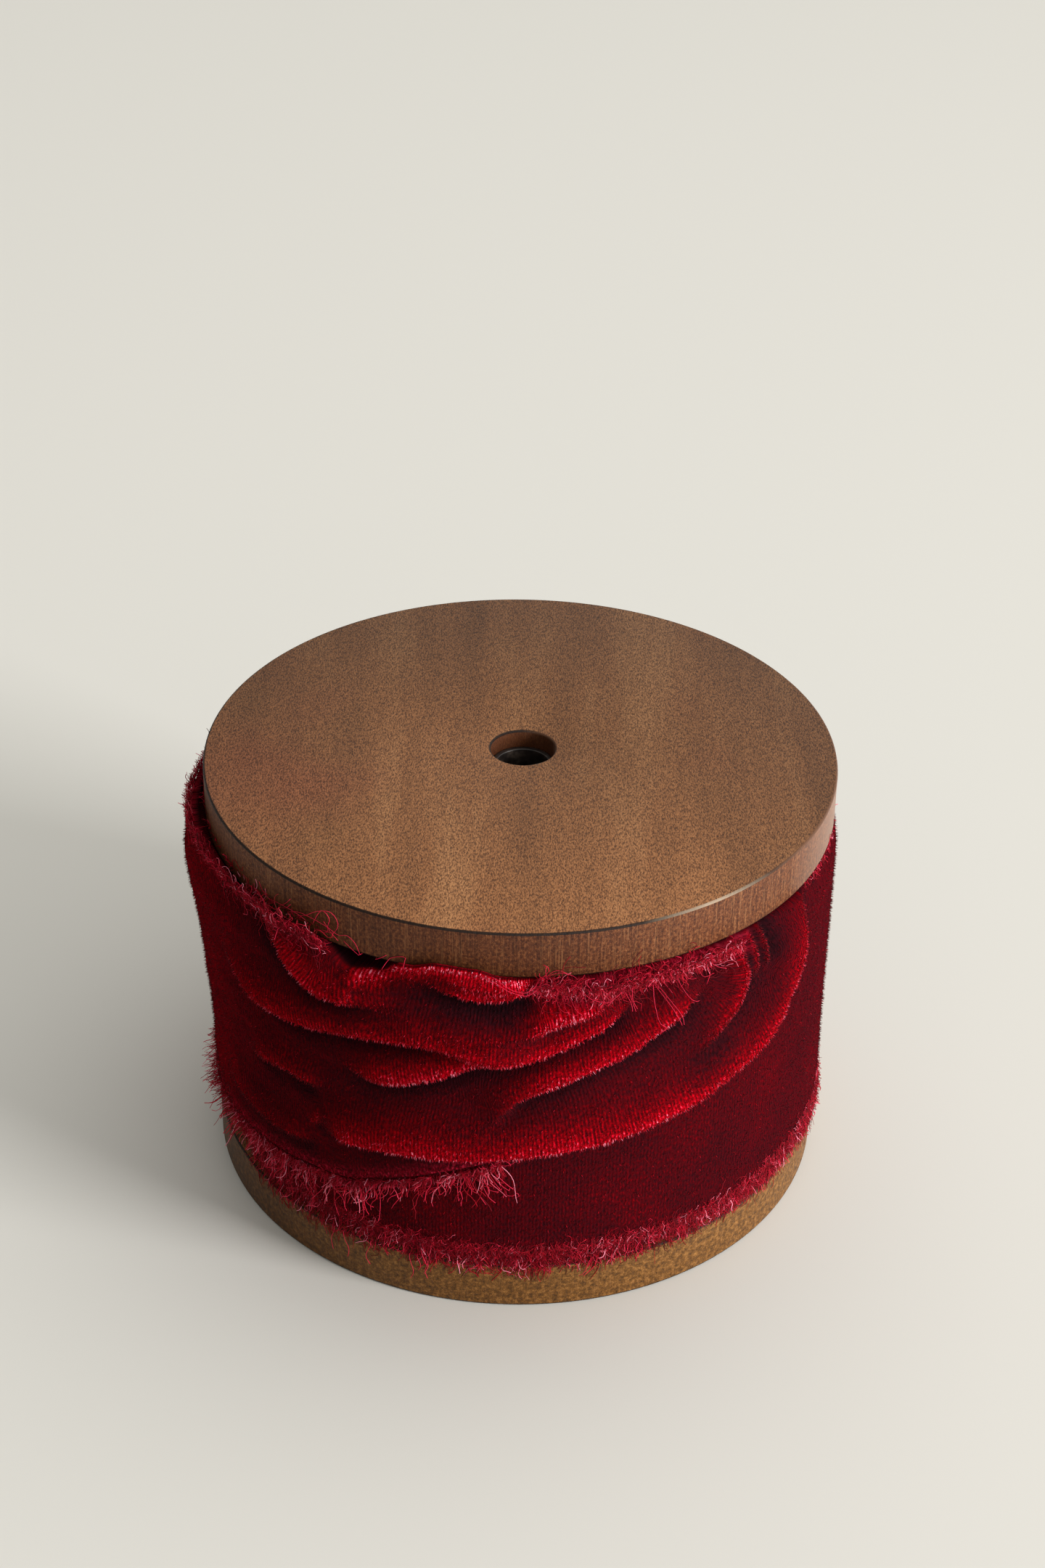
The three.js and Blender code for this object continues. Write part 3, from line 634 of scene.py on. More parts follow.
def lay_face():
    """The cloth's face, worked out once: the roll, its pile and its loose threads all lie on it."""
    angles = np.concatenate([
        np.arange(FIRST_ANGLE, FRONT_FROM, BACK_STEP),
        np.arange(FRONT_FROM, FRONT_TO, FRONT_STEP),
        np.arange(FRONT_TO, LAST_ANGLE, BACK_STEP),
    ])
    tops = column(TOP_EDGE, angles, "z")
    heights = np.stack([row_heights(angle, top) for angle, top in zip(angles, tops)])
    shape = heights.shape
    each_angle = np.repeat(angles, shape[1])
    each_top = np.repeat(tops, shape[1])
    angle, r, z, rows, looks = lay_cloth(each_angle, heights.ravel(), each_top)
    face = {"angle": angle, "r": r, "z": z, "rows": rows, **looks}
    face = {key: values.reshape(shape) for key, values in face.items()}
    points = polar(face["angle"], face["r"], face["z"])
    along_run = np.roll(points, -1, axis=0) - np.roll(points, 1, axis=0)
    face["facing"] = unit(np.cross(along_run, np.gradient(points, axis=1)))
    face["ahead"] = unit(along_run)
    return {"angles": angles, "tops": tops, "points": points, **face}


FACE = lay_face()

# Radius of what stands outermost, by angle and height, for threads that lie on it
CLEAR_PER_DEG = 2
CLEAR_PER_MM = 4
CLEAR_HIGH = 60
CLEAR_LEAST = 38.0


def clearance_table():
    table = np.full((360 * CLEAR_PER_DEG, CLEAR_HIGH * CLEAR_PER_MM), CLEAR_LEAST)
    heights = (np.arange(table.shape[1]) + 0.5) / CLEAR_PER_MM
    flanges = (heights < BASE_HIGH[2]) | (heights > TOP_LOW[2])
    table[:, flanges] = FLANGE_R
    i = np.floor(FACE["angle"] * CLEAR_PER_DEG).astype(int) % len(table)
    j = np.floor(FACE["z"] * CLEAR_PER_MM).astype(int)
    np.maximum.at(table, (i, j), FACE["r"])
    spread = table.copy()
    for turn in (-2, -1, 0, 1, 2):
        for rise in (-1, 0, 1):
            spread = np.maximum(spread, np.roll(np.roll(table, turn, 0), rise, 1))
    return spread


CLEARANCE = clearance_table()


def clear_radius(angle, z):
    i = np.floor(angle * CLEAR_PER_DEG).astype(int) % CLEARANCE.shape[0]
    j = np.clip(np.floor(z * CLEAR_PER_MM).astype(int), 0, CLEARANCE.shape[1] - 1)
    return CLEARANCE[i, j]


# Materials
def shade_of(hex_colour):
    """An sRGB hex colour as linear RGBA."""
    srgb = [int(hex_colour[i:i + 2], 16) / 255 for i in (1, 3, 5)]
    linear = [c / 12.92 if c <= 0.04045 else ((c + 0.055) / 1.055) ** 2.4 for c in srgb]
    return (*linear, 1)


def add_node(tree, kind, inputs=(), out=0, stops=(), **settings):
    """Adds a node with its settings and a ramp's stops, and returns one of its outputs. inputs gives
    each socket, by number or name, a value, a hex colour or the output that it is linked from."""
    node = tree.nodes.new("ShaderNode" + kind)
    for key, value in settings.items():
        setattr(node, key, value)
    for key, value in inputs.items() if isinstance(inputs, dict) else enumerate(inputs):
        if isinstance(value, bpy.types.NodeSocket):
            tree.links.new(value, node.inputs[key])
        else:
            node.inputs[key].default_value = shade_of(value) if isinstance(value, str) else value
    if stops:
        elements = node.color_ramp.elements
        while len(elements) < len(stops):
            elements.new(0.5)
        for element, (position, colour) in zip(elements, stops):
            element.position = position
            element.color = shade_of(colour)
    return node.outputs[out] if node.outputs else None


def new_material(name):
    """An empty material, and add_node for its tree."""
    material = bpy.data.materials.new(name)
    material.use_nodes = True
    material.node_tree.nodes.clear()
    return material, functools.partial(add_node, material.node_tree)


# Crimson velvet by tone, from nearly black, looked into and in painted shade, to bright on painted
# highlights
VELVET_STOPS = [
    (0.0, "#15090c"), (0.2, "#2a0a0f"), (0.4, "#48070d"), (0.6, "#74040c"), (0.75, "#a60411"),
    (0.87, "#ca1028"), (0.95, "#e03854"), (1.0, "#f28ca2"),
]
THREAD_STOPS = [
    (0.0, "#2a0308"), (0.3, "#6c0513"), (0.55, "#a8091f"), (0.8, "#d42443"), (1.0, "#f08ca0"),
]
BROWN_EDGE = [(0.32, "#361a0d"), (0.5, "#66371c"), (0.68, "#96603a")]
GOLDEN_EDGE = [(0.3, "#34200b"), (0.5, "#6a4419"), (0.68, "#9a6a36")]


def cloth_velvet():
    """Woven viscose velvet, matt and deep: its cut pile stands in rows 0.47 mm apart, and a faint
    sheen gives the eye the red haze of its tips. The yarns below the pile are too fine to show."""
    material, add = new_material("woven_viscose_velvet")
    # tone holds the pile's painted highlights and painted shade
    tone = add("Attribute", out="Fac", attribute_name="tone")
    torn = add("Attribute", out="Fac", attribute_name="torn")
    pile_map = add("UVMap", uv_map="pile")
    # A wave's bands are pi / 10 apart at a scale of 1. The tufts are 3.2 lumps to the millimetre.
    rows = add("TexWave", {
        "Vector": pile_map, "Scale": math.pi / 10 / PILE_ROW, "Distortion": 0.5, "Detail": 1.0,
        "Detail Scale": 2.5,
    }, "Fac", wave_type="BANDS", bands_direction="X")
    tufts_map = add("Mapping", {"Vector": pile_map, "Scale": (1, 0.55, 1)})
    tufts = add("TexNoise", {"Vector": tufts_map, "Scale": 3.2, "Detail": 3.0}, "Fac")
    place = add("TexCoord", out="Object")
    patches = add("TexNoise", {"Vector": place, "Scale": 0.11 * TO_MM, "Detail": 3.0}, "Fac")
    total = tone
    for pattern, middle, depth in (
        (rows, 0.52, add("MapRange", [tone, 0.34, 0.8, 0.06, 0.3])),
        (tufts, 0.52, add("MapRange", [tone, 0.25, 0.75, 0.65, 1.15])),
        (patches, 0.5, 0.3),
    ):
        swing = add("Math", [pattern, middle], operation="SUBTRACT")
        total = add("Math", [swing, depth, total], operation="MULTIPLY_ADD")
    pile = add("ValToRGB", [total], stops=VELVET_STOPS)
    raw = add("ValToRGB", [tufts], stops=[(0.3, "#34040a"), (0.52, "#78081a"), (0.74, "#ba2a42")])
    share = add("Math", [torn, 0.8], operation="MULTIPLY")
    colour = add("Mix", {0: share, 6: pile, 7: raw}, 2, data_type="RGBA")
    row_relief = add("Math", [rows, 0.25], operation="MULTIPLY")
    relief = add("Math", [tufts, 1.2, row_relief], operation="MULTIPLY_ADD")
    bump = add("Bump", {"Height": relief, "Strength": 0.7, "Distance": 0.18 * MM})
    surface = add("BsdfPrincipled", {
        "Base Color": colour, "Normal": bump, "Roughness": 1.0, "Specular IOR Level": 0.0,
        "Sheen Weight": 0.45, "Sheen Roughness": 0.35, "Sheen Tint": "#c00c20",
    })
    add("OutputMaterial", [surface])
    return material


def loose_fibre(name, stops, roughness, specular, sheen, tint):
    """Spun viscose by itself, a little shiny. Its tone along each fibre parts one from the next."""
    material, add = new_material(name)
    tone = add("Attribute", out="Fac", attribute_name="tone")
    surface = add("BsdfPrincipled", {
        "Base Color": add("ValToRGB", [tone], stops=stops), "Roughness": roughness,
        "Specular IOR Level": specular, "Sheen Weight": sheen, "Sheen Tint": tint,
    })
    add("OutputMaterial", [surface])
    return material


def stained_board(name, edge_stops, sawn, right_sheen_share, left_shade_share):
    """Stained plywood, rubbed down to a low gloss. Short dark pores show its grain on the face and fine
    saw lines its cut edge. The face is darker towards the back and the right rim, and the edge round
    the front. A dark line in the arris is partly stain and partly painted shade, browner past one
    painted glint, where the arris is also polished; a painted sheen lies on the edge's right and
    painted shade on its left, in the shares given."""
    material, add = new_material(name)
    place = add("TexCoord", out="Object")
    x, y, z = (add("SeparateXYZ", [place], axis) for axis in "XYZ")
    normal_z = add("SeparateXYZ", [add("NewGeometry", out="Normal")], "Z")
    up = add("Math", [normal_z], operation="ABSOLUTE")
    on_face = add("Math", [up, 0.8], operation="GREATER_THAN")
    centred = add("Math", [x, AXIS_X * MM], operation="SUBTRACT")
    turn = add("Math", [centred, y], operation="ARCTAN2")
    around = add("Math", [turn, FLANGE_R], operation="MULTIPLY")
    rise = add("Math", [z, TO_MM], operation="MULTIPLY")
    unrolled = add("CombineXYZ", [around, rise])

    # Each pattern: its lumps to the millimetre, their stretch along the grain, and the grain's turn
    pores, flecks, streaks, clouds, fine, grain, saw, broad_saw = (
        add("TexNoise", {
            "Vector": add("Mapping", {
                "Vector": source, "Rotation": (0, 0, math.radians(turned)), "Scale": stretch,
            }),
            "Scale": scale, "Detail": detail, "Roughness": rough,
        }, "Fac", noise_dimensions=dimensions)
        for source, dimensions, scale, stretch, turned, detail, rough in (
            (place, "3D", 5.4 * TO_MM, (1, 0.4, 1), -14, 2.0, 0.7),
            (place, "3D", 2.6 * TO_MM, (1, 0.4, 1), 24, 2.0, 0.6),
            (place, "3D", 0.12 * TO_MM, (1, 0.12, 1), 32, 4.0, 0.6),
            (place, "3D", 0.026 * TO_MM, (1, 1, 1), 0, 2.0, 0.5),
            (place, "3D", 5.2 * TO_MM, (1, 1, 1), 0, 1.0, 0.5),
            (unrolled, "2D", 1.0, (0.8 + 2 * sawn, 1.2 + sawn, 1), 0, 6.0, 0.8),
            (unrolled, "2D", 1.0, (5.0, 0.1, 1), 0, 3.0, 0.8),
            (unrolled, "2D", 1.0, (3.4, 0.06, 1), 0, 4.0, 0.8),
        )
    )

    # Where on the rim the painted glint, the painted shade and the front lie, as angles from the back:
    # positive to the right
    to_glint, to_shadow, off_front = (
        add("Math", [add("Math", [value, offset], operation="ADD")], operation="ABSOLUTE")
        for value, offset in (
            (turn, -math.radians(145)), (turn, math.radians(115)), (centred, 4 * MM),
        )
    )
    # The arris; a painted sheen on the edge's right; the arris past the glint, where its dark line turns
    # brown; and the painted glint on the upper arris, which is also polished there
    on_arris, painted_right_sheen, past_glint, bare = (
        add("Math", [add("MapRange", one), add("MapRange", other)], operation="MULTIPLY")
        for one, other in (
            ([up, 0.13, 0.22], [up, 0.975, 0.93]),
            ([turn, math.radians(60), math.radians(90)],
             [turn, math.radians(126), math.radians(100), 0, right_sheen_share]),
            ([turn, math.radians(138), math.radians(122)], [turn, 0, 0.5]),
            ([to_glint, 0.24, 0.02], [rise, HEIGHT - 2, HEIGHT - 1]),
        )
    )
    pore_shade = add("ValToRGB", [pores], stops=[(0.34, "#64564a"), (0.48, "#c8c0b8"), (0.58, "#ffffff")])
    fleck_shade = add("ValToRGB", [flecks], stops=[(0.35, "#d4ccc4"), (0.6, "#ffffff")])
    saw_shade = add("ValToRGB", [broad_saw], stops=[(0.3, "#b0a59d"), (0.6, "#ffffff")])
    # Painted shade on the edge's left
    painted_left_shade = add("MapRange", [to_shadow, math.radians(40), math.radians(15), 0, left_shade_share])
    # A first colour for each part of the board, and what is laid over it: how, how much and what
    coats = {
        "face": (
            add("ValToRGB", [streaks], stops=[(0.32, "#96633b"), (0.5, "#a97145"), (0.66, "#b88153")]),
            ("MIX", add("MapRange", [clouds, 0.48, 0.7, 0, 0.6]), "#a0573a"),
            ("MULTIPLY", add("MapRange", [y, -40 * MM, 30 * MM]), "#bfbfbf"),
            ("MULTIPLY", add("MapRange", [x, 22 * MM, 40 * MM]), "#d2d2d2"),
            ("MULTIPLY", 0.85, pore_shade),
            ("MULTIPLY", 0.6, fleck_shade),
        ),
        "edge": (
            add("ValToRGB", [grain], stops=edge_stops),
            ("MIX", add("MapRange", [saw, 0.6, 0.66, 0, 0.5 * sawn]), "#ac7a50"),
            ("MULTIPLY", sawn, saw_shade),
            ("MULTIPLY", add("MapRange", [off_front, 24 * MM, 6 * MM, 0, 0.8 * sawn]), "#cabcae"),
            # painted sheen on the right of the edge
            ("MIX", painted_right_sheen, "#dcc8b8"),
            # painted shade on the left of the edge
            ("MULTIPLY", painted_left_shade, "#d0c8c4"),
        ),
        # A dark line in the arris, partly stain and partly painted shade, browner past the glint, and a pale
        # painted glint
        "arris": ("#0a0502", ("MIX", past_glint, "#5c3c28"), ("MIX", bare, "#a08c76")),
    }
    coated = {}
    for part, (colour, *layers) in coats.items():
        for kind, share, layer in layers:
            colour = add("Mix", {0: share, 6: colour, 7: layer}, 2, data_type="RGBA", blend_type=kind)
        coated[part] = colour
    sides = add("Mix", {0: on_face, 6: coated["edge"], 7: coated["face"]}, 2, data_type="RGBA")
    rim = add("Math", [on_arris, 0.9], operation="MULTIPLY")
    colour = add("Mix", {0: rim, 6: sides, 7: coated["arris"]}, 2, data_type="RGBA")
    texture = add("Mix", {0: on_face, 2: grain, 3: pores})
    relief = add("Math", [fine, 0.35, texture], operation="MULTIPLY_ADD")
    bump = add("Bump", {"Height": relief, "Strength": 0.8, "Distance": 0.12 * MM})
    # The painted glint's stretch of arris is also polished
    polish = add("Math", [on_arris, bare], operation="MULTIPLY")
    surface = add("BsdfPrincipled", {
        "Base Color": colour, "Normal": bump, "Roughness": add("Mix", {0: polish, 2: 0.48, 3: 0.16}),
        "Specular IOR Level": 0.2,
    })
    add("OutputMaterial", [surface])
    return material


def rolled_board():
    """Dark rolled paperboard, slightly polished, so that its rim shows as a thin bright ring."""
    material, add = new_material("rolled_paperboard")
    place = add("TexCoord", out="Object")
    fibres = add("TexNoise", {"Vector": place, "Scale": 0.9 * TO_MM, "Detail": 3.0}, "Fac")
    surface = add("BsdfPrincipled", {
        "Base Color": add(
            "ValToRGB", [fibres], stops=[(0.35, "#171210"), (0.6, "#2e2622"), (0.8, "#54483f")]
        ),
        "Normal": add("Bump", {"Height": fibres, "Strength": 0.3, "Distance": 0.05 * MM}),
        "Roughness": 0.35,
    })
    add("OutputMaterial", [surface])
    return material


def studio_paper():
    """Seamless background paper, pale and matt."""
    material, add = new_material("background_paper")
    surface = add("BsdfPrincipled", {
        "Base Color": "#dcd9d2", "Roughness": 0.9, "Specular IOR Level": 0.1,
    })
    add("OutputMaterial", [surface])
    return material


def settle(piece, material, slot, *nodes):
    """Gives a finished piece its material and its place in the frame, and hides the nodes it stands for."""
    piece.data.materials.clear()
    piece.data.materials.append(material)
    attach(piece, "root")
    if nodes:
        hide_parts(*nodes)


# Spool
def drilled_disc(name, outer, bore, low, high, arris, sides, centre_off=(0, 0)):
    """A disc or tube wall between two heights, with its hole a little off the axis."""
    rings = []
    for radius, off in ((outer, centre_off), (bore, BORE_OFF)):
        bpy.ops.mesh.primitive_circle_add(
            vertices=sides, radius=radius * MM,
            location=((AXIS_X + off[0]) * MM, off[1] * MM, low * MM),
        )
        rings.append(bpy.context.object)
    bpy.ops.object.select_all(action="DESELECT")
    for ring in rings:
        ring.select_set(True)
    bpy.context.view_layer.objects.active = rings[0]
    bpy.ops.object.join()
    bpy.ops.object.mode_set(mode="EDIT")
    bpy.ops.mesh.select_all(action="SELECT")
    bpy.ops.mesh.bridge_edge_loops()
    bpy.ops.mesh.select_all(action="SELECT")
    bpy.ops.mesh.extrude_region_move(TRANSFORM_OT_translate={"value": (0, 0, (high - low) * MM)})
    bpy.ops.mesh.select_all(action="SELECT")
    bpy.ops.mesh.normals_make_consistent(inside=False)
    bpy.ops.object.mode_set(mode="OBJECT")
    bpy.ops.object.transform_apply(location=True, rotation=True, scale=True)
    disc = bpy.context.object
    disc.name = name
    disc.data.name = name
    softened = disc.modifiers.new("arris", "BEVEL")
    softened.width = arris * MM
    softened.segments = ARRIS_STEPS
    softened.limit_method = "ANGLE"
    softened.angle_limit = math.radians(ARRIS_ANGLE)
    bpy.ops.object.modifier_apply(modifier=softened.name)
    bpy.ops.object.shade_smooth_by_angle(angle=math.radians(SMOOTH_ANGLE))
    return disc


def make_spool():
    top = drilled_disc(
        "top_flange", FLANGE_R, BORE_R, TOP_LOW[2], TOP_HIGH[2], BOARD_ARRIS, BOARD_SIDES
    )
    # The last two numbers: how much painted sheen on the edge's right and painted shade on its left
    top_board = stained_board("stained_plywood", BROWN_EDGE, 0.9, 0.23, 0)
    settle(top, top_board, "stained_wood", "spool_top")
    base = drilled_disc(
        "base_flange", FLANGE_R, BORE_R, BASE_LOW[2], BASE_HIGH[2], BOARD_ARRIS, BOARD_SIDES
    )
    base_board = stained_board("worn_plywood", GOLDEN_EDGE, 0.3, 0, 1)
    settle(base, base_board, "stained_wood", "spool_base")
    board = rolled_board()
    tube = drilled_disc(
        "core_tube", TUBE_R, TUBE_BORE_R, TUBE_LOW[2], TUBE_HIGH[2], TUBE_ARRIS, TUBE_SIDES
    )
    settle(tube, board, "tube_board", "spool_tube")
    liner = drilled_disc(
        "bore_liner", BORE_R - LINER_CLEAR, TUBE_BORE_R - LINER_REACH, TOP_LOW[2] + LINER_CLEAR,
        HEIGHT - LINER_DEPTH, LINER_ARRIS, TUBE_SIDES, BORE_OFF,
    )
    settle(liner, board, "tube_board")


# Velvet
def velvet_tone():
    """How bright the pile is painted, with its painted highlights and shade, before its rows and tufts:
    from 0, looked into, to 1, at a tip.
    """
    angle = FACE["angle"]
    glow = FACE["glow"]
    tone = TONES["flat"] + TONES["glow"] * glow + TONES["edge"] * FACE["edge"]
    tone += TONES["under_turn"] * (1 - FACE["turn"])
    tone += TONES["glow_right"] * glow * smooth(angle, *GLOW_RIGHT)
    tone += TONES["left"] * within(angle, **LEFT_LIGHT)
    tone += TONES["bottom"] * hump(FACE["z"] - FACE_BOTTOM - BOTTOM_LIGHT_AT, BOTTOM_LIGHT_WIDE)
    tone += TONES["right"] * within(angle, **RIGHT_SHADE)
    return np.clip(tone + TONES["shade"] * FACE["shade"] * (1 - glow), DARKEST, 1)


TONE = velvet_tone()


def make_roll():
    """The wound ribbon as one closed ring, the outer turn's folds and torn edges on its face."""
    angles = FACE["angles"]
    tops = FACE["tops"]
    inside = FACE["r"][:, -1] - LIP_THICK
    lip = np.clip((tops - ROLL_TOP) / LIP_RISE, 0, 1)
    flat = np.minimum(tops, ROLL_TOP)
    before = [
        polar(angles, r, z) for r, z in (
            (TUBE_R + GAP, ROLL_BOTTOM),
            (FLANGE_R - UNDER_EDGE, ROLL_BOTTOM),
            (FACE["r"][:, 0] - UNDER_CURL, mix(ROLL_BOTTOM, FACE_BOTTOM, CURL_SHARE)),
        )
    ]
    corner = mix(inside - 2 * INNER_SLOPE, FLANGE_R - CORNER_CLEAR, lip)
    after = [
        polar(angles, r, z) for r, z in (
            (inside, tops),
            (mix(inside - INNER_SLOPE, FLANGE_R + LIP_CLEAR, lip), flat),
            (corner, flat - lip * CORNER_CLEAR),
            (FLANGE_R - INNER_FLAT, flat),
            (TUBE_R + GAP, ROLL_TOP),
        )
    ]
    ring = np.concatenate([np.stack(before, 1), FACE["points"], np.stack(after, 1)], 1)

    bpy.ops.object.select_all(action="DESELECT")
    bpy.ops.mesh.primitive_grid_add(x_subdivisions=len(ring), y_subdivisions=ring.shape[1], size=1)
    roll = bpy.context.object
    roll.name = "wound_velvet"
    mesh = roll.data
    mesh.name = "wound_velvet"

    def over_grid(values):
        """Values by column and step of the ring as the grid's, with both seams closed."""
        closed = np.concatenate([values, values[:1]], 0)
        closed = np.concatenate([closed, closed[:, :1]], 1)
        return closed.swapaxes(0, 1).astype(np.float32)

    def over_ring(values, **filled):
        """The face's values for the whole ring, filled where it is hidden."""
        return over_grid(np.pad(values, ((0, 0), (len(before), len(after))), **filled))

    mesh.vertices.foreach_set("co", (over_grid(ring) * MM).ravel())
    # The top and bottom faces take the dark tone of painted shade
    point_values(mesh, "tone", over_ring(TONE, constant_values=HIDDEN_SHADE_TONE))
    point_values(mesh, "torn", over_ring(FACE["torn"], constant_values=0))
    corners = np.zeros(len(mesh.loops), np.int32)
    mesh.loops.foreach_get("vertex_index", corners)
    u = over_ring(FACE["rows"], mode="edge")
    u[:, -1] += (LAST_ANGLE - FIRST_ANGLE) * RUN_PER_DEG
    v = over_ring(FACE["z"], mode="edge")
    pile_map = mesh.uv_layers[0]
    pile_map.name = "pile"
    pile_map.data.foreach_set("uv", np.stack([u.ravel()[corners], v.ravel()[corners]], -1).ravel())
    bpy.ops.object.mode_set(mode="EDIT")
    bpy.ops.mesh.select_all(action="SELECT")
    bpy.ops.mesh.remove_doubles(threshold=SEAM * MM)
    bpy.ops.object.mode_set(mode="OBJECT")
    bpy.ops.object.transform_apply(location=True, rotation=True, scale=True)
    bpy.ops.object.shade_smooth()
    return roll


def stand_pile(name, first, last, count, seed):
    """Single tufts of the pile as thin closed spikes, thickest where folds open it."""
    rng = np.random.default_rng(seed)
    inside = np.where((FACE["angles"] >= first) & (FACE["angles"] < last))[0]
    step = np.gradient(FACE["angles"])[inside][:, None] * RUN_PER_DEG
    rise = np.abs(np.gradient(FACE["z"], axis=1))[inside]
    density = PILE_DENSITY["flat"]
    for key in ("glow", "edge", "torn"):
        density = density + PILE_DENSITY[key] * FACE[key][inside]
    share = (step * rise * density).ravel()
    share = share / share.sum()
    picked = rng.choice(len(share), count, p=share)
    rows = FACE["z"].shape[1]
    at = inside[picked // rows], picked % rows
    to_row = FACE["rows"][at] / PILE_ROW
    jitter = rng.uniform(-0.5, 0.5, (count, 2))
    offset = (np.round(to_row) - to_row) * PILE_ROW * PILE_TO_ROW
    offset = offset + jitter[:, 0] * PILE_ROW * PILE_ASTRAY
    normal = FACE["facing"][at]
    ahead = FACE["ahead"][at]
    width = np.cross(normal, ahead)
    aside = jitter[:, 1] * np.maximum(rise.ravel()[picked], PILE_LEAST_STEP)
    root = FACE["points"][at] + ahead * offset[:, None] + width * aside[:, None]
    lean = rng.normal(0, PILE_LEAN, (count, 2))
    edge = FACE["edge"][at]
    heading = unit(normal + ahead * lean[:, :1] + width * (lean[:, 1:] - PILE_DOWN))
    long = PILE_LONG * rng.uniform(*PILE_SPREAD, count) * (1 + PILE_EDGE_LONGER * edge)
    tip = root + heading * long[:, None]
    base = root - normal * PILE_ROOT
    spin = rng.uniform(0, 2 * np.pi, count)
    # Glints are painted highlights: brighter, thicker tufts, more of them on the painted rims
    glint = rng.uniform(0, 1, count) < GLINTS + EDGE_GLINTS * edge
    wide = PILE_WIDE * np.where(glint, GLINT_WIDE, 1)[:, None]
    sides = []
    for third in range(3):
        a = spin + third * 2 * np.pi / 3
        sides.append(base + wide * (ahead * np.cos(a)[:, None] + width * np.sin(a)[:, None]))
    points = np.stack([*sides, tip], 1).reshape(-1, 3)
    start = (np.arange(count) * 4)[:, None, None]
    faces = (start + [[0, 2, 1], [0, 1, 3], [1, 2, 3], [2, 0, 3]]).reshape(-1, 3)
    # Each tuft takes the face's painted tone; its tip is lighter on painted highlights and rims
    root_tone = TONE[at] + ROOT_TONE + np.where(glint, GLINT_TONE, 0)
    tip_tone = root_tone + TIP_TONE["flat"] + TIP_TONE["glow"] * FACE["glow"][at]
    tip_tone += TIP_TONE["edge"] * edge + rng.normal(0, TIP_TONE["spread"], count)
    tone = np.stack([root_tone, root_tone, root_tone, tip_tone], 1).ravel()
    return joined_mesh(name, points, faces.tolist(), np.clip(tone, 0, 1))


def make_velvet():
    settle(make_roll(), cloth_velvet(), "velvet", "velvet_roll")
    pile = loose_fibre("cut_viscose_pile", VELVET_STOPS, 0.6, 0.06, 0.2, "#d01830")
    for name, stretch in PILES.items():
        settle(stand_pile(name, *stretch), pile, "velvet")


# Torn edges: line holds the angle and height of the edge, way is 1 where its threads stand up
# and isn't given where they hang, hang is how many stand or hang, reach how far, and flare how
# far out they end. web is how many lie along the edge, and fuzz how many short ends stick out.
def upper_line(first, last):
    angles = np.linspace(first, last, UPPER_POINTS)
    return list(zip(angles, column(TOP_EDGE, angles, "z") + ABOVE_EDGE))


UPPER_POINTS = 9
ABOVE_EDGE = 0.1
FLARE = (-0.3, 1.0)
TORN_EDGES = {
    "fray_top_left": dict(
        line=upper_line(-112, -62), way=1, hang=40, reach=(0.6, 1.8), web=150, fuzz=1000,
    ),
    "fray_top_tangle": dict(
        line=upper_line(-62, -33), way=1, hang=36, reach=(0.7, 2.4), web=240, fuzz=700,
    ),
    "fray_top_front": dict(
        line=[(2, 50.2), (9, 49.8), (14, 49.3), (26, 49.3), (34, 49.6), (41, 50.1)],
        hang=70, reach=(0.5, 2.0), web=540, fuzz=2000,
    ),
    "fray_top_right": dict(
        line=[(62, 49.8), (120, 49.8)], hang=18, reach=(0.5, 1.4), web=24, fuzz=260,
    ),
    "fray_top_back": dict(
        line=[(120, 49.8), (180, 49.8)], hang=24, reach=(0.5, 1.8), web=34, fuzz=320,
    ),
    "fray_top_back_left": dict(
        line=[(180, 49.8), (240, 49.7)], hang=24, reach=(0.5, 1.8), web=34, fuzz=320,
    ),
    "fray_turn_left": dict(
        line=[(-112, 10.9), (-96, 11.4), (-60, 13.2)], hang=150, reach=(1.6, 4.4), web=40, fuzz=1000,
        flare=(0.3, 3.0),
    ),
    "fray_turn_front": dict(
        line=[
            (-60, 13.2), (-50, 13.8), (-40, 14.8), (-30, 15.9), (-24, 17.5), (-16, 19.8), (-8, 22.0),
            (-2, 23.6),
        ],
        hang=340, reach=(1.6, 5.0), web=60, fuzz=1500, flare=(0, 1.6),
    ),
    "fray_under_front": dict(
        line=[(-60, 9.2), (-36, 8.7), (0, 8.5), (24, 8.8)], hang=260, reach=(1.4, 4.4), web=180,
        fuzz=5200, flare=(-0.2, 0.8),
    ),
    "fray_under_right": dict(
        line=[(24, 8.8), (50, 9.3), (84, 9.8)], hang=120, reach=(0.8, 3.0), web=120, fuzz=3600,
    ),
    "fray_under_back": dict(
        line=[(84, 9.8), (142, 9.8)], hang=44, reach=(0.8, 2.6), web=36, fuzz=900,
    ),
    "fray_under_rear": dict(
        line=[(142, 9.8), (201, 10.0)], hang=44, reach=(0.8, 2.6), web=36, fuzz=900,
    ),
    "fray_under_back_left": dict(
        line=[(201, 10.0), (246, 10.3)], hang=36, reach=(0.8, 2.6), web=28, fuzz=700,
    ),
}

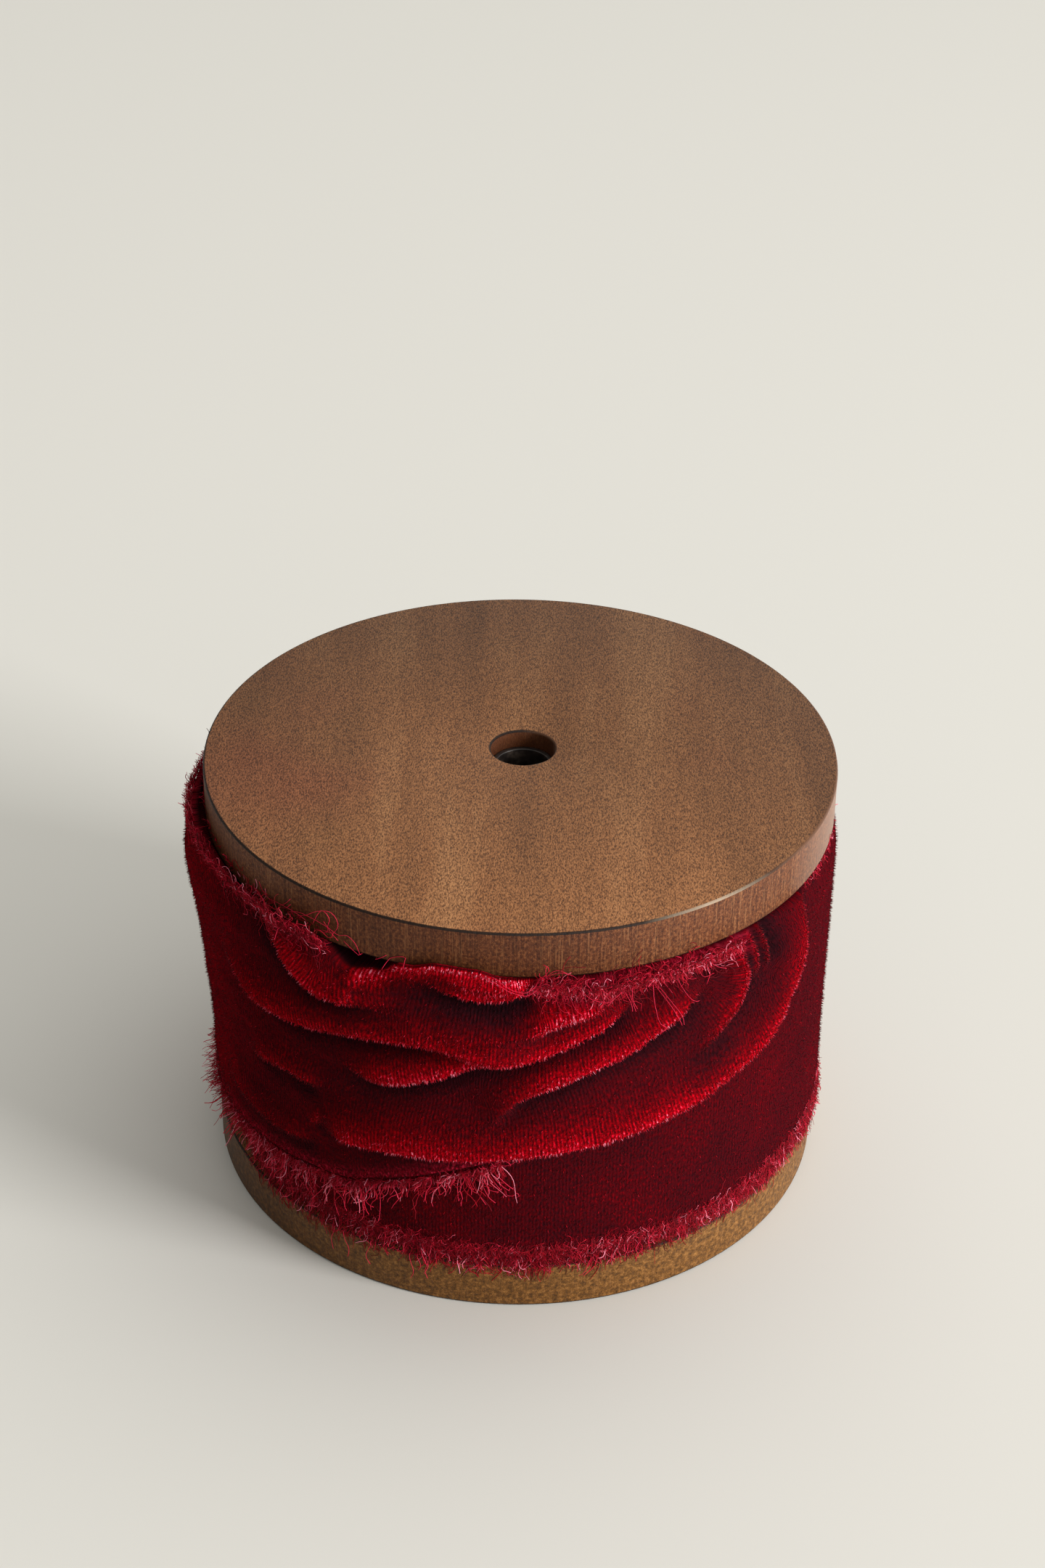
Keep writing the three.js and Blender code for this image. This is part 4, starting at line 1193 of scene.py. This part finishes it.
# Threads long enough to stand out by themselves: angle, height and how far off the cloth
LONG_THREADS = {
    "fray_top_tangle": [
        [
            (-41, 52.3, 0.5), (-38, 53.6, 0.9), (-35, 55.2, 1.1), (-32.5, 55.6, 0.9),
            (-31.3, 54.2, 0.7), (-32.4, 52.6, 0.6), (-35, 52.2, 0.5),
        ],
        [
            (-43, 52.2, 0.5), (-40, 53.3, 0.7), (-36.5, 53.6, 0.9), (-33.5, 53.2, 0.8),
            (-31.5, 52.5, 0.6), (-29.8, 52.8, 0.5), (-28.2, 52.1, 0.5), (-27.2, 50.6, 0.5),
            (-26.6, 49.8, 0.4),
        ],
        [(-37, 52.4, 0.5), (-34.4, 55.4, 1.0), (-32.6, 54.8, 1.1), (-33.4, 53.0, 0.7), (-31.6, 51.6, 0.5)],
        [(-49.6, 54.4, 0.9), (-49.4, 53.2, 0.6), (-48.2, 52.4, 0.4), (-46.4, 52.2, 0.3)],
        [(-45.4, 52.2, 0.4), (-43.2, 53.4, 0.7), (-41.4, 54.8, 0.9)],
        [(-44.6, 52.2, 0.4), (-42.8, 53.0, 0.8), (-41.0, 54.3, 1.2)],
        [(-47, 52.4, 0.3), (-44, 52.9, 0.6), (-40.4, 53.1, 0.8), (-37.8, 52.4, 0.6), (-38.6, 51.6, 0.4)],
        [(-41.6, 52.6, 0.9), (-41.0, 51.4, 1.0), (-41.4, 50.4, 0.9)],
        [(-30.6, 51.8, 0.4), (-28.6, 51.0, 0.5), (-26.2, 50.2, 0.5), (-24.0, 50.8, 0.4), (-22.4, 51.6, 0.3)],
        [(-22.6, 50.2, 0.4), (-21.6, 51.4, 0.4), (-19.2, 52.0, 0.4), (-18.4, 51.2, 0.4)],
    ],
    "fray_top_front": [
        [
            (-6, 51.9, 0.5), (-3, 51.2, 0.6), (0, 50.1, 0.7), (2.4, 49.8, 0.8), (4.6, 51.0, 0.6),
            (6.6, 51.9, 0.5), (9, 51.0, 0.5),
        ],
        [
            (-4, 52.0, 0.6), (-1, 50.8, 0.7), (1.5, 50.2, 0.8), (4, 50.9, 0.7), (7, 51.6, 0.6),
            (10, 50.7, 0.5),
        ],
        [(22.8, 48.8, 0.5), (22.2, 46.8, 0.9), (22.6, 44.8, 1.1), (23.8, 43.8, 1.0), (22.6, 43.2, 0.9)],
        [(22.8, 48.8, 0.6), (24.6, 46.6, 1.0), (25.8, 44.8, 1.0), (27.0, 42.8, 0.9)],
        [(23.4, 48.6, 0.6), (24.8, 47.0, 1.2), (26.2, 45.2, 1.3), (26.8, 43.6, 1.1)],
        [(27.0, 48.8, 0.6), (27.6, 47.4, 0.9), (28.8, 46.2, 1.0), (30.2, 45.6, 0.9)],
        [(18.2, 48.8, 0.5), (18.5, 47.9, 0.8), (18.9, 46.8, 0.9), (19.2, 46.2, 0.9)],
        [(17.4, 48.9, 0.5), (18.3, 47.6, 0.8), (18.4, 46.6, 1.0)],
        [(19.2, 48.9, 0.5), (18.7, 47.8, 0.9), (19.4, 46.6, 1.0)],
        [(33.0, 49.6, 0.4), (34.6, 48.6, 0.8), (36.0, 48.2, 0.8)],
        [(9.5, 50.2, 0.5), (12, 48.9, 0.8), (15, 48.5, 0.9), (18, 49.2, 0.7), (19.2, 50.0, 0.5)],
        *[[(a, 49.6, 0.8), (a + 0.25, 49.75, 0.9), (a + 0.5, 49.7, 0.8)] for a in range(15, 34)],
    ],
    "fray_turn_front": [
        [
            (-6, 23.4, 0.5), (-4.4, 21.6, 0.8), (-2.6, 19.6, 0.9), (-0.8, 18.4, 0.9),
            (0.4, 18.9, 0.8), (-1.2, 20.0, 0.7), (-3.4, 21.6, 0.6),
        ],
        [
            (-5.4, 23.6, 0.6), (-3.2, 21.0, 1.0), (-1.0, 19.4, 1.0), (0.9, 18.6, 0.8),
            (0.2, 18.0, 0.8), (-1.9, 18.0, 0.8),
        ],
        [(-4.0, 24.2, 0.5), (-2.4, 23.2, 0.9), (-0.4, 23.6, 1.0), (0.9, 24.6, 0.8), (0.0, 25.2, 0.6)],
        [(-3.4, 23.9, 0.5), (-1.6, 24.6, 0.7), (-0.6, 24.0, 0.9), (-2.0, 23.4, 0.9)],
        [(-6.8, 22.6, 0.5), (-5.6, 20.2, 0.9), (-4.4, 18.2, 1.0), (-3.2, 17.2, 0.9)],
        [(-8.4, 22.0, 0.5), (-7.0, 19.6, 0.9), (-5.4, 17.6, 1.0), (-4.8, 16.8, 0.9)],
        [(-9.6, 21.6, 0.5), (-9.8, 19.4, 0.9), (-9.6, 17.2, 1.0), (-9.2, 16.2, 0.9)],
        [(-13.2, 20.8, 0.5), (-13.4, 18.6, 0.9), (-14.4, 16.6, 1.0), (-14.2, 15.4, 0.9)],
        [(-24.6, 17.2, 0.5), (-24.2, 14.0, 0.9), (-24.4, 11.4, 1.0), (-25.0, 10.2, 0.9)],
        [(-28.6, 16.2, 0.5), (-28.0, 13.2, 0.9), (-27.6, 10.8, 1.0), (-28.4, 9.6, 1.0)],
        [(-34.6, 15.4, 0.5), (-34.2, 12.6, 0.8), (-34.0, 10.4, 0.9), (-33.2, 8.6, 0.9)],
    ],
    "fray_under_front": [
        [(-34.6, 8.6, 0.4), (-34.2, 6.4, 0.5), (-35.0, 4.4, 0.5), (-34.6, 2.8, 0.5)],
        [(-31.6, 8.6, 0.4), (-32.2, 6.0, 0.5), (-31.0, 4.2, 0.6), (-31.4, 2.6, 0.5)],
        [(-27.2, 8.6, 0.4), (-26.4, 6.4, 0.5), (-27.4, 4.2, 0.6), (-26.6, 2.9, 0.5)],
        [(-18.2, 8.5, 0.4), (-18.8, 6.2, 0.5), (-18.0, 4.0, 0.6), (-18.6, 2.6, 0.5)],
        [(-15.4, 8.5, 0.4), (-15.0, 6.6, 0.5), (-15.8, 4.6, 0.6), (-15.4, 3.2, 0.5)],
        [(-16.6, 8.5, 0.4), (-17.4, 6.8, 0.5), (-16.6, 5.2, 0.6), (-17.2, 4.2, 0.5)],
    ],
}

THREAD_R = 0.06
FUZZ_R = 0.04
CLUMPING = 0.35
TUFT_APART = 1.3
TUFT_PULL = 0.5
THREAD_POINTS = 9
FUZZ_POINTS = 4
# How the threads gather: in clumps along the edge, and each a little longer or shorter
CLUMP_APART = 2.2
EACH_LONGER = 0.2
LONG_ARE_FEW = 1.6
TUFT_TURN, TUFT_TURN_OFTEN = 0.45, 1.7
CLUMP_SEED, EACH_SEED, TURN_SEED = 31, 32, 33
# How each thread wanders: its heading, its waves and how far out it swings towards its end
SPREAD = 0.75
WAVES, BEATS = (0.5, 1.4), (0.6, 1.7)
ROOT_SUNK = 0.05
SWING_LATE = 1.2
FLUTTER, FLUTTER_OFTEN = 0.18, 1.4
FIRST_CLEAR, LAST_CLEAR = 0.06, 0.04
# Threads that hang or stand, those that lie along the edge, and the fuzz of short ends: how
# their headings spread, how they curl, how thick they are, how they taper, and their least tone
HANG = dict(spread=0.4, curl=0.55, wide=(0.8, 1.35), taper=0.7, least=0.42)
WEB = dict(
    spread=0.3, curl=1.0, wide=(0.5, 0.8), least=0.18, reach=(1.6, 5.0), out=(-0.1, 0.6), short_of=3,
)
FUZZ = dict(spread=0.7, curl=0.7, taper=0.6, inwards=-0.1, out_share=0.7)
UPPER_FUZZ = dict(reach=(0.35, 1.3), band=0.25, least=0.24)
UNDER_FUZZ = dict(reach=(0.6, 3.2), band=0.8, least=0.14)
LONG_WIDE, LONG_TONE, LONG_SUNK = 0.7, 0.8, 0.3
TONE_SPREAD, BRIGHT_ARE_FEW = 0.5, 1.4
# A few threads painted brighter, as highlights
BRIGHT_SHARE, BRIGHTER = 0.16, 0.35


def rest_on_cloth(angle, z, hang_r, clear):
    """Radius of each thread's points: where it hangs, or on what it lies on."""
    return np.maximum(hang_r, clear_radius(angle, z) + clear)


def strands(rng, line, count, reach, heading, spread, curl, out, points, band=0.18, short_of=0):
    """Wandering paths that start on the line: angle, height and radius of their points."""
    angle0 = rng.uniform(line[0][0], line[-1][0] - short_of, count)
    z0 = np.interp(angle0, *zip(*line)) + rng.normal(0, band, count)
    clumps = 1 + CLUMPING * soft_noise(angle0 / CLUMP_APART, 0 * angle0, CLUMP_SEED)
    clumps = clumps + EACH_LONGER * soft_noise(angle0, z0, EACH_SEED)
    long = mix(*reach, rng.uniform(0, 1, count) ** LONG_ARE_FEW) * clumps
    tuft = np.round(angle0 / TUFT_APART)
    angle0 = mix(angle0, tuft * TUFT_APART, TUFT_PULL)
    turn = heading + TUFT_TURN * soft_noise(tuft * TUFT_TURN_OFTEN, 0 * tuft, TURN_SEED)
    turn = turn + rng.normal(0, SPREAD * spread, count)
    bend = rng.normal(0, curl, count)
    wave = rng.uniform(*WAVES, count) * curl
    beat = rng.uniform(*BEATS, count)
    phase = rng.uniform(0, 2 * np.pi, count)
    t = np.linspace(0, 1, points)
    way = turn[:, None] + bend[:, None] * t
    way = way + wave[:, None] * np.sin(2 * np.pi * beat[:, None] * t + phase[:, None])
    step = long[:, None] / (points - 1)
    run = np.cumsum(np.cos(way) * step, 1) - np.cos(way[:, :1]) * step
    rise = np.cumsum(np.sin(way) * step, 1) - np.sin(way[:, :1]) * step
    angle = angle0[:, None] + run / RUN_PER_DEG
    z = z0[:, None] + rise
    root_r = clear_radius(angle0, z0) - ROOT_SUNK
    swing = rng.uniform(*out, count)[:, None] * t ** SWING_LATE
    flutter = np.sin(2 * np.pi * beat[:, None] * t * FLUTTER_OFTEN + phase[:, None] * 2) * t
    r = rest_on_cloth(angle, z, root_r[:, None] + swing + FLUTTER * flutter, FIRST_CLEAR)
    r[:, 1:-1] = (r[:, :-2] + r[:, 1:-1] * 2 + r[:, 2:]) / 4
    return angle, z, rest_on_cloth(angle, z, r, LAST_CLEAR)


def twisted_mesh(paths, radius):
    """Points and faces of thin closed threads of three sides along paths."""
    count, steps, _ = paths.shape
    tangent = np.gradient(paths, axis=1)
    tangent /= np.linalg.norm(tangent, axis=2, keepdims=True) + 1e-9
    outward = paths - (AXIS_X, 0, 0)
    outward[:, :, 2] = 0
    outward /= np.linalg.norm(outward, axis=2, keepdims=True)
    side = np.cross(tangent, outward)
    side /= np.linalg.norm(side, axis=2, keepdims=True) + 1e-9
    lift = np.cross(side, tangent)
    ring = []
    for third in range(3):
        a = 2 * np.pi * third / 3
        ring.append(paths + radius[:, :, None] * (side * math.cos(a) + lift * math.sin(a)))
    points = np.stack(ring, 2).reshape(-1, 3)
    start = (np.arange(count) * steps * 3)[:, None, None, None]
    level = (np.arange(steps - 1) * 3)[None, :, None, None]
    quads = np.array([[0, 1, 4, 3], [1, 2, 5, 4], [2, 0, 3, 5]])[None, None]
    walls = (start + level + quads).reshape(-1, 4)
    first_cap = (np.arange(count) * steps * 3)[:, None] + np.array([2, 1, 0])
    last_cap = (np.arange(count) * steps * 3 + (steps - 1) * 3)[:, None] + np.array([0, 1, 2])
    return points, walls.tolist() + first_cap.tolist() + last_cap.tolist()


def thread_tones(rng, count, least):
    """A tone for each thread: mostly crimson, with a few painted brighter as highlights."""
    tone = least + TONE_SPREAD * rng.uniform(0, 1, (count, 1)) ** BRIGHT_ARE_FEW
    bright = rng.uniform(0, 1, (count, 1)) < BRIGHT_SHARE
    return np.clip(tone + np.where(bright, BRIGHTER, 0), 0, 1)


def torn_edge(node, edge, seed):
    """All the loose threads of one stretch of torn edge, as one mesh."""
    rng = np.random.default_rng(seed)
    line, hang, web, ends = (edge[key] for key in ("line", "hang", "web", "fuzz"))
    up = edge.get("way", -1) * math.pi / 2
    flare = edge.get("flare", FLARE)
    groups = [
        strands(
            rng, line, hang, edge["reach"], up, HANG["spread"], HANG["curl"], flare, THREAD_POINTS
        ),
        strands(
            rng, line, web, WEB["reach"], 0, WEB["spread"], WEB["curl"], WEB["out"], THREAD_POINTS,
            short_of=WEB["short_of"],
        ),
    ]
    taper = np.linspace(1, HANG["taper"], THREAD_POINTS)
    radii = [
        THREAD_R * rng.uniform(*HANG["wide"], (hang, 1)) * taper,
        THREAD_R * rng.uniform(*WEB["wide"], (web, 1)) * np.ones(THREAD_POINTS),
    ]
    tones = [thread_tones(rng, hang, HANG["least"]), thread_tones(rng, web, WEB["least"])]
    for path in LONG_THREADS.get(node, []):
        angle, z, off = spline(path, 4).T[:, None]
        groups.append((angle, z, clear_radius(angle, z) + off - LONG_SUNK))
        radii.append(np.full(angle.shape, LONG_WIDE * THREAD_R))
        tones.append(np.array([[LONG_TONE]]))
    fuzz = FUZZ | (UNDER_FUZZ if "under" in node else UPPER_FUZZ)
    out = (fuzz["inwards"], fuzz["out_share"] * flare[1])
    groups.append(strands(
        rng, line, ends, fuzz["reach"], up, fuzz["spread"], fuzz["curl"], out, FUZZ_POINTS, fuzz["band"]
    ))
    radii.append(FUZZ_R * np.ones((ends, 1)) * np.linspace(1, fuzz["taper"], FUZZ_POINTS))
    tones.append(thread_tones(rng, ends, fuzz["least"]))
    points, faces, tone = [], [], []
    made = 0
    for (angle, z, r), radius, colour in zip(groups, radii, tones):
        some_points, some_faces = twisted_mesh(polar(angle, r, z), radius)
        points.append(some_points)
        faces.extend([[corner + made for corner in face] for face in some_faces])
        tone.append(np.repeat((colour + 0 * angle).ravel(), 3))
        made += len(some_points)
    name = node.replace("fray", "torn")
    return joined_mesh(name, np.concatenate(points), faces, np.concatenate(tone))


def make_torn_edges():
    thread = loose_fibre("torn_viscose_thread", THREAD_STOPS, 0.55, 0.1, 0.1, "#d02040")
    for seed, (node, edge) in enumerate(TORN_EDGES.items(), 100):
        settle(torn_edge(node, edge, seed), thread, "loose_thread", node)


# Studio
CAMERA_PLACE = (1.3, -303.8, 244.6)
CAMERA_PITCH = 32.373
CAMERA_ROLL = -0.83
LENS = 64.84
FRAME_HIGH = 36
# Each light's place, aim, width and height in metres, and watts
LIGHTS = {
    "window": ((1.561, -0.789, 0.484), (0, 0, 0.1), (0.667, 0.99), 47),
    "ceiling": ((0.186, 0.516, 1.178), (0, 0, 0), (1.77, 1.16), 3.8),
}


def place_by_axes(name, data, right, up, back, place):
    """Stands a camera or light at a place, turned by its three axes."""
    holder = link(name, data)
    matrix = Matrix.Identity(4)
    for i, axis in enumerate((right, up, back, place)):
        for j in range(3):
            matrix[j][i] = axis[j]
    holder.matrix_world = matrix
    return holder


def set_camera():
    pitch = math.radians(CAMERA_PITCH)
    roll = math.radians(CAMERA_ROLL)
    ahead = np.array([0, math.cos(pitch), -math.sin(pitch)])
    right = np.array([1, 0, 0])
    up = np.array([0, math.sin(pitch), math.cos(pitch)])
    turned_right = math.cos(roll) * right - math.sin(roll) * up
    turned_up = math.sin(roll) * right + math.cos(roll) * up
    camera = bpy.data.cameras.new("camera")
    camera.sensor_fit = "VERTICAL"
    camera.sensor_height = FRAME_HIGH
    camera.lens = LENS
    camera.clip_start = 0.01
    place = np.array(CAMERA_PLACE) * MM
    holder = place_by_axes("camera", camera, turned_right, turned_up, -ahead, place)
    bpy.context.scene.camera = holder


def set_lights():
    for name, (place, aim, (width, height), watts) in LIGHTS.items():
        light = bpy.data.lights.new(name, "AREA")
        light.shape = "RECTANGLE"
        light.size = width
        light.size_y = height
        light.energy = watts
        back = unit(np.array(place, float) - np.array(aim, float))
        right = unit(np.cross((0, 0, 1), back))
        place_by_axes(name, light, right, np.cross(back, right), back, place)


def set_studio():
    bpy.ops.object.select_all(action="DESELECT")
    bpy.ops.mesh.primitive_plane_add(size=6, location=(0, 0, 0))
    floor = bpy.context.object
    floor.name = "floor"
    floor.data.materials.append(studio_paper())
    set_lights()
    world = bpy.data.worlds.new("studio")
    bpy.context.scene.world = world
    world.use_nodes = True
    add = functools.partial(add_node, world.node_tree)
    side = add("SeparateXYZ", [add("TexCoord", out="Generated")], "X")
    sky = world.node_tree.nodes["Background"].inputs
    world.node_tree.links.new(add("Math", [side, 0.55, 0.6], operation="MULTIPLY_ADD"), sky["Strength"])
    sky["Color"].default_value = shade_of("#fffffa")
    bpy.context.scene.view_settings.view_transform = "Standard"


set_camera()
make_spool()
make_velvet()
make_torn_edges()
set_studio()
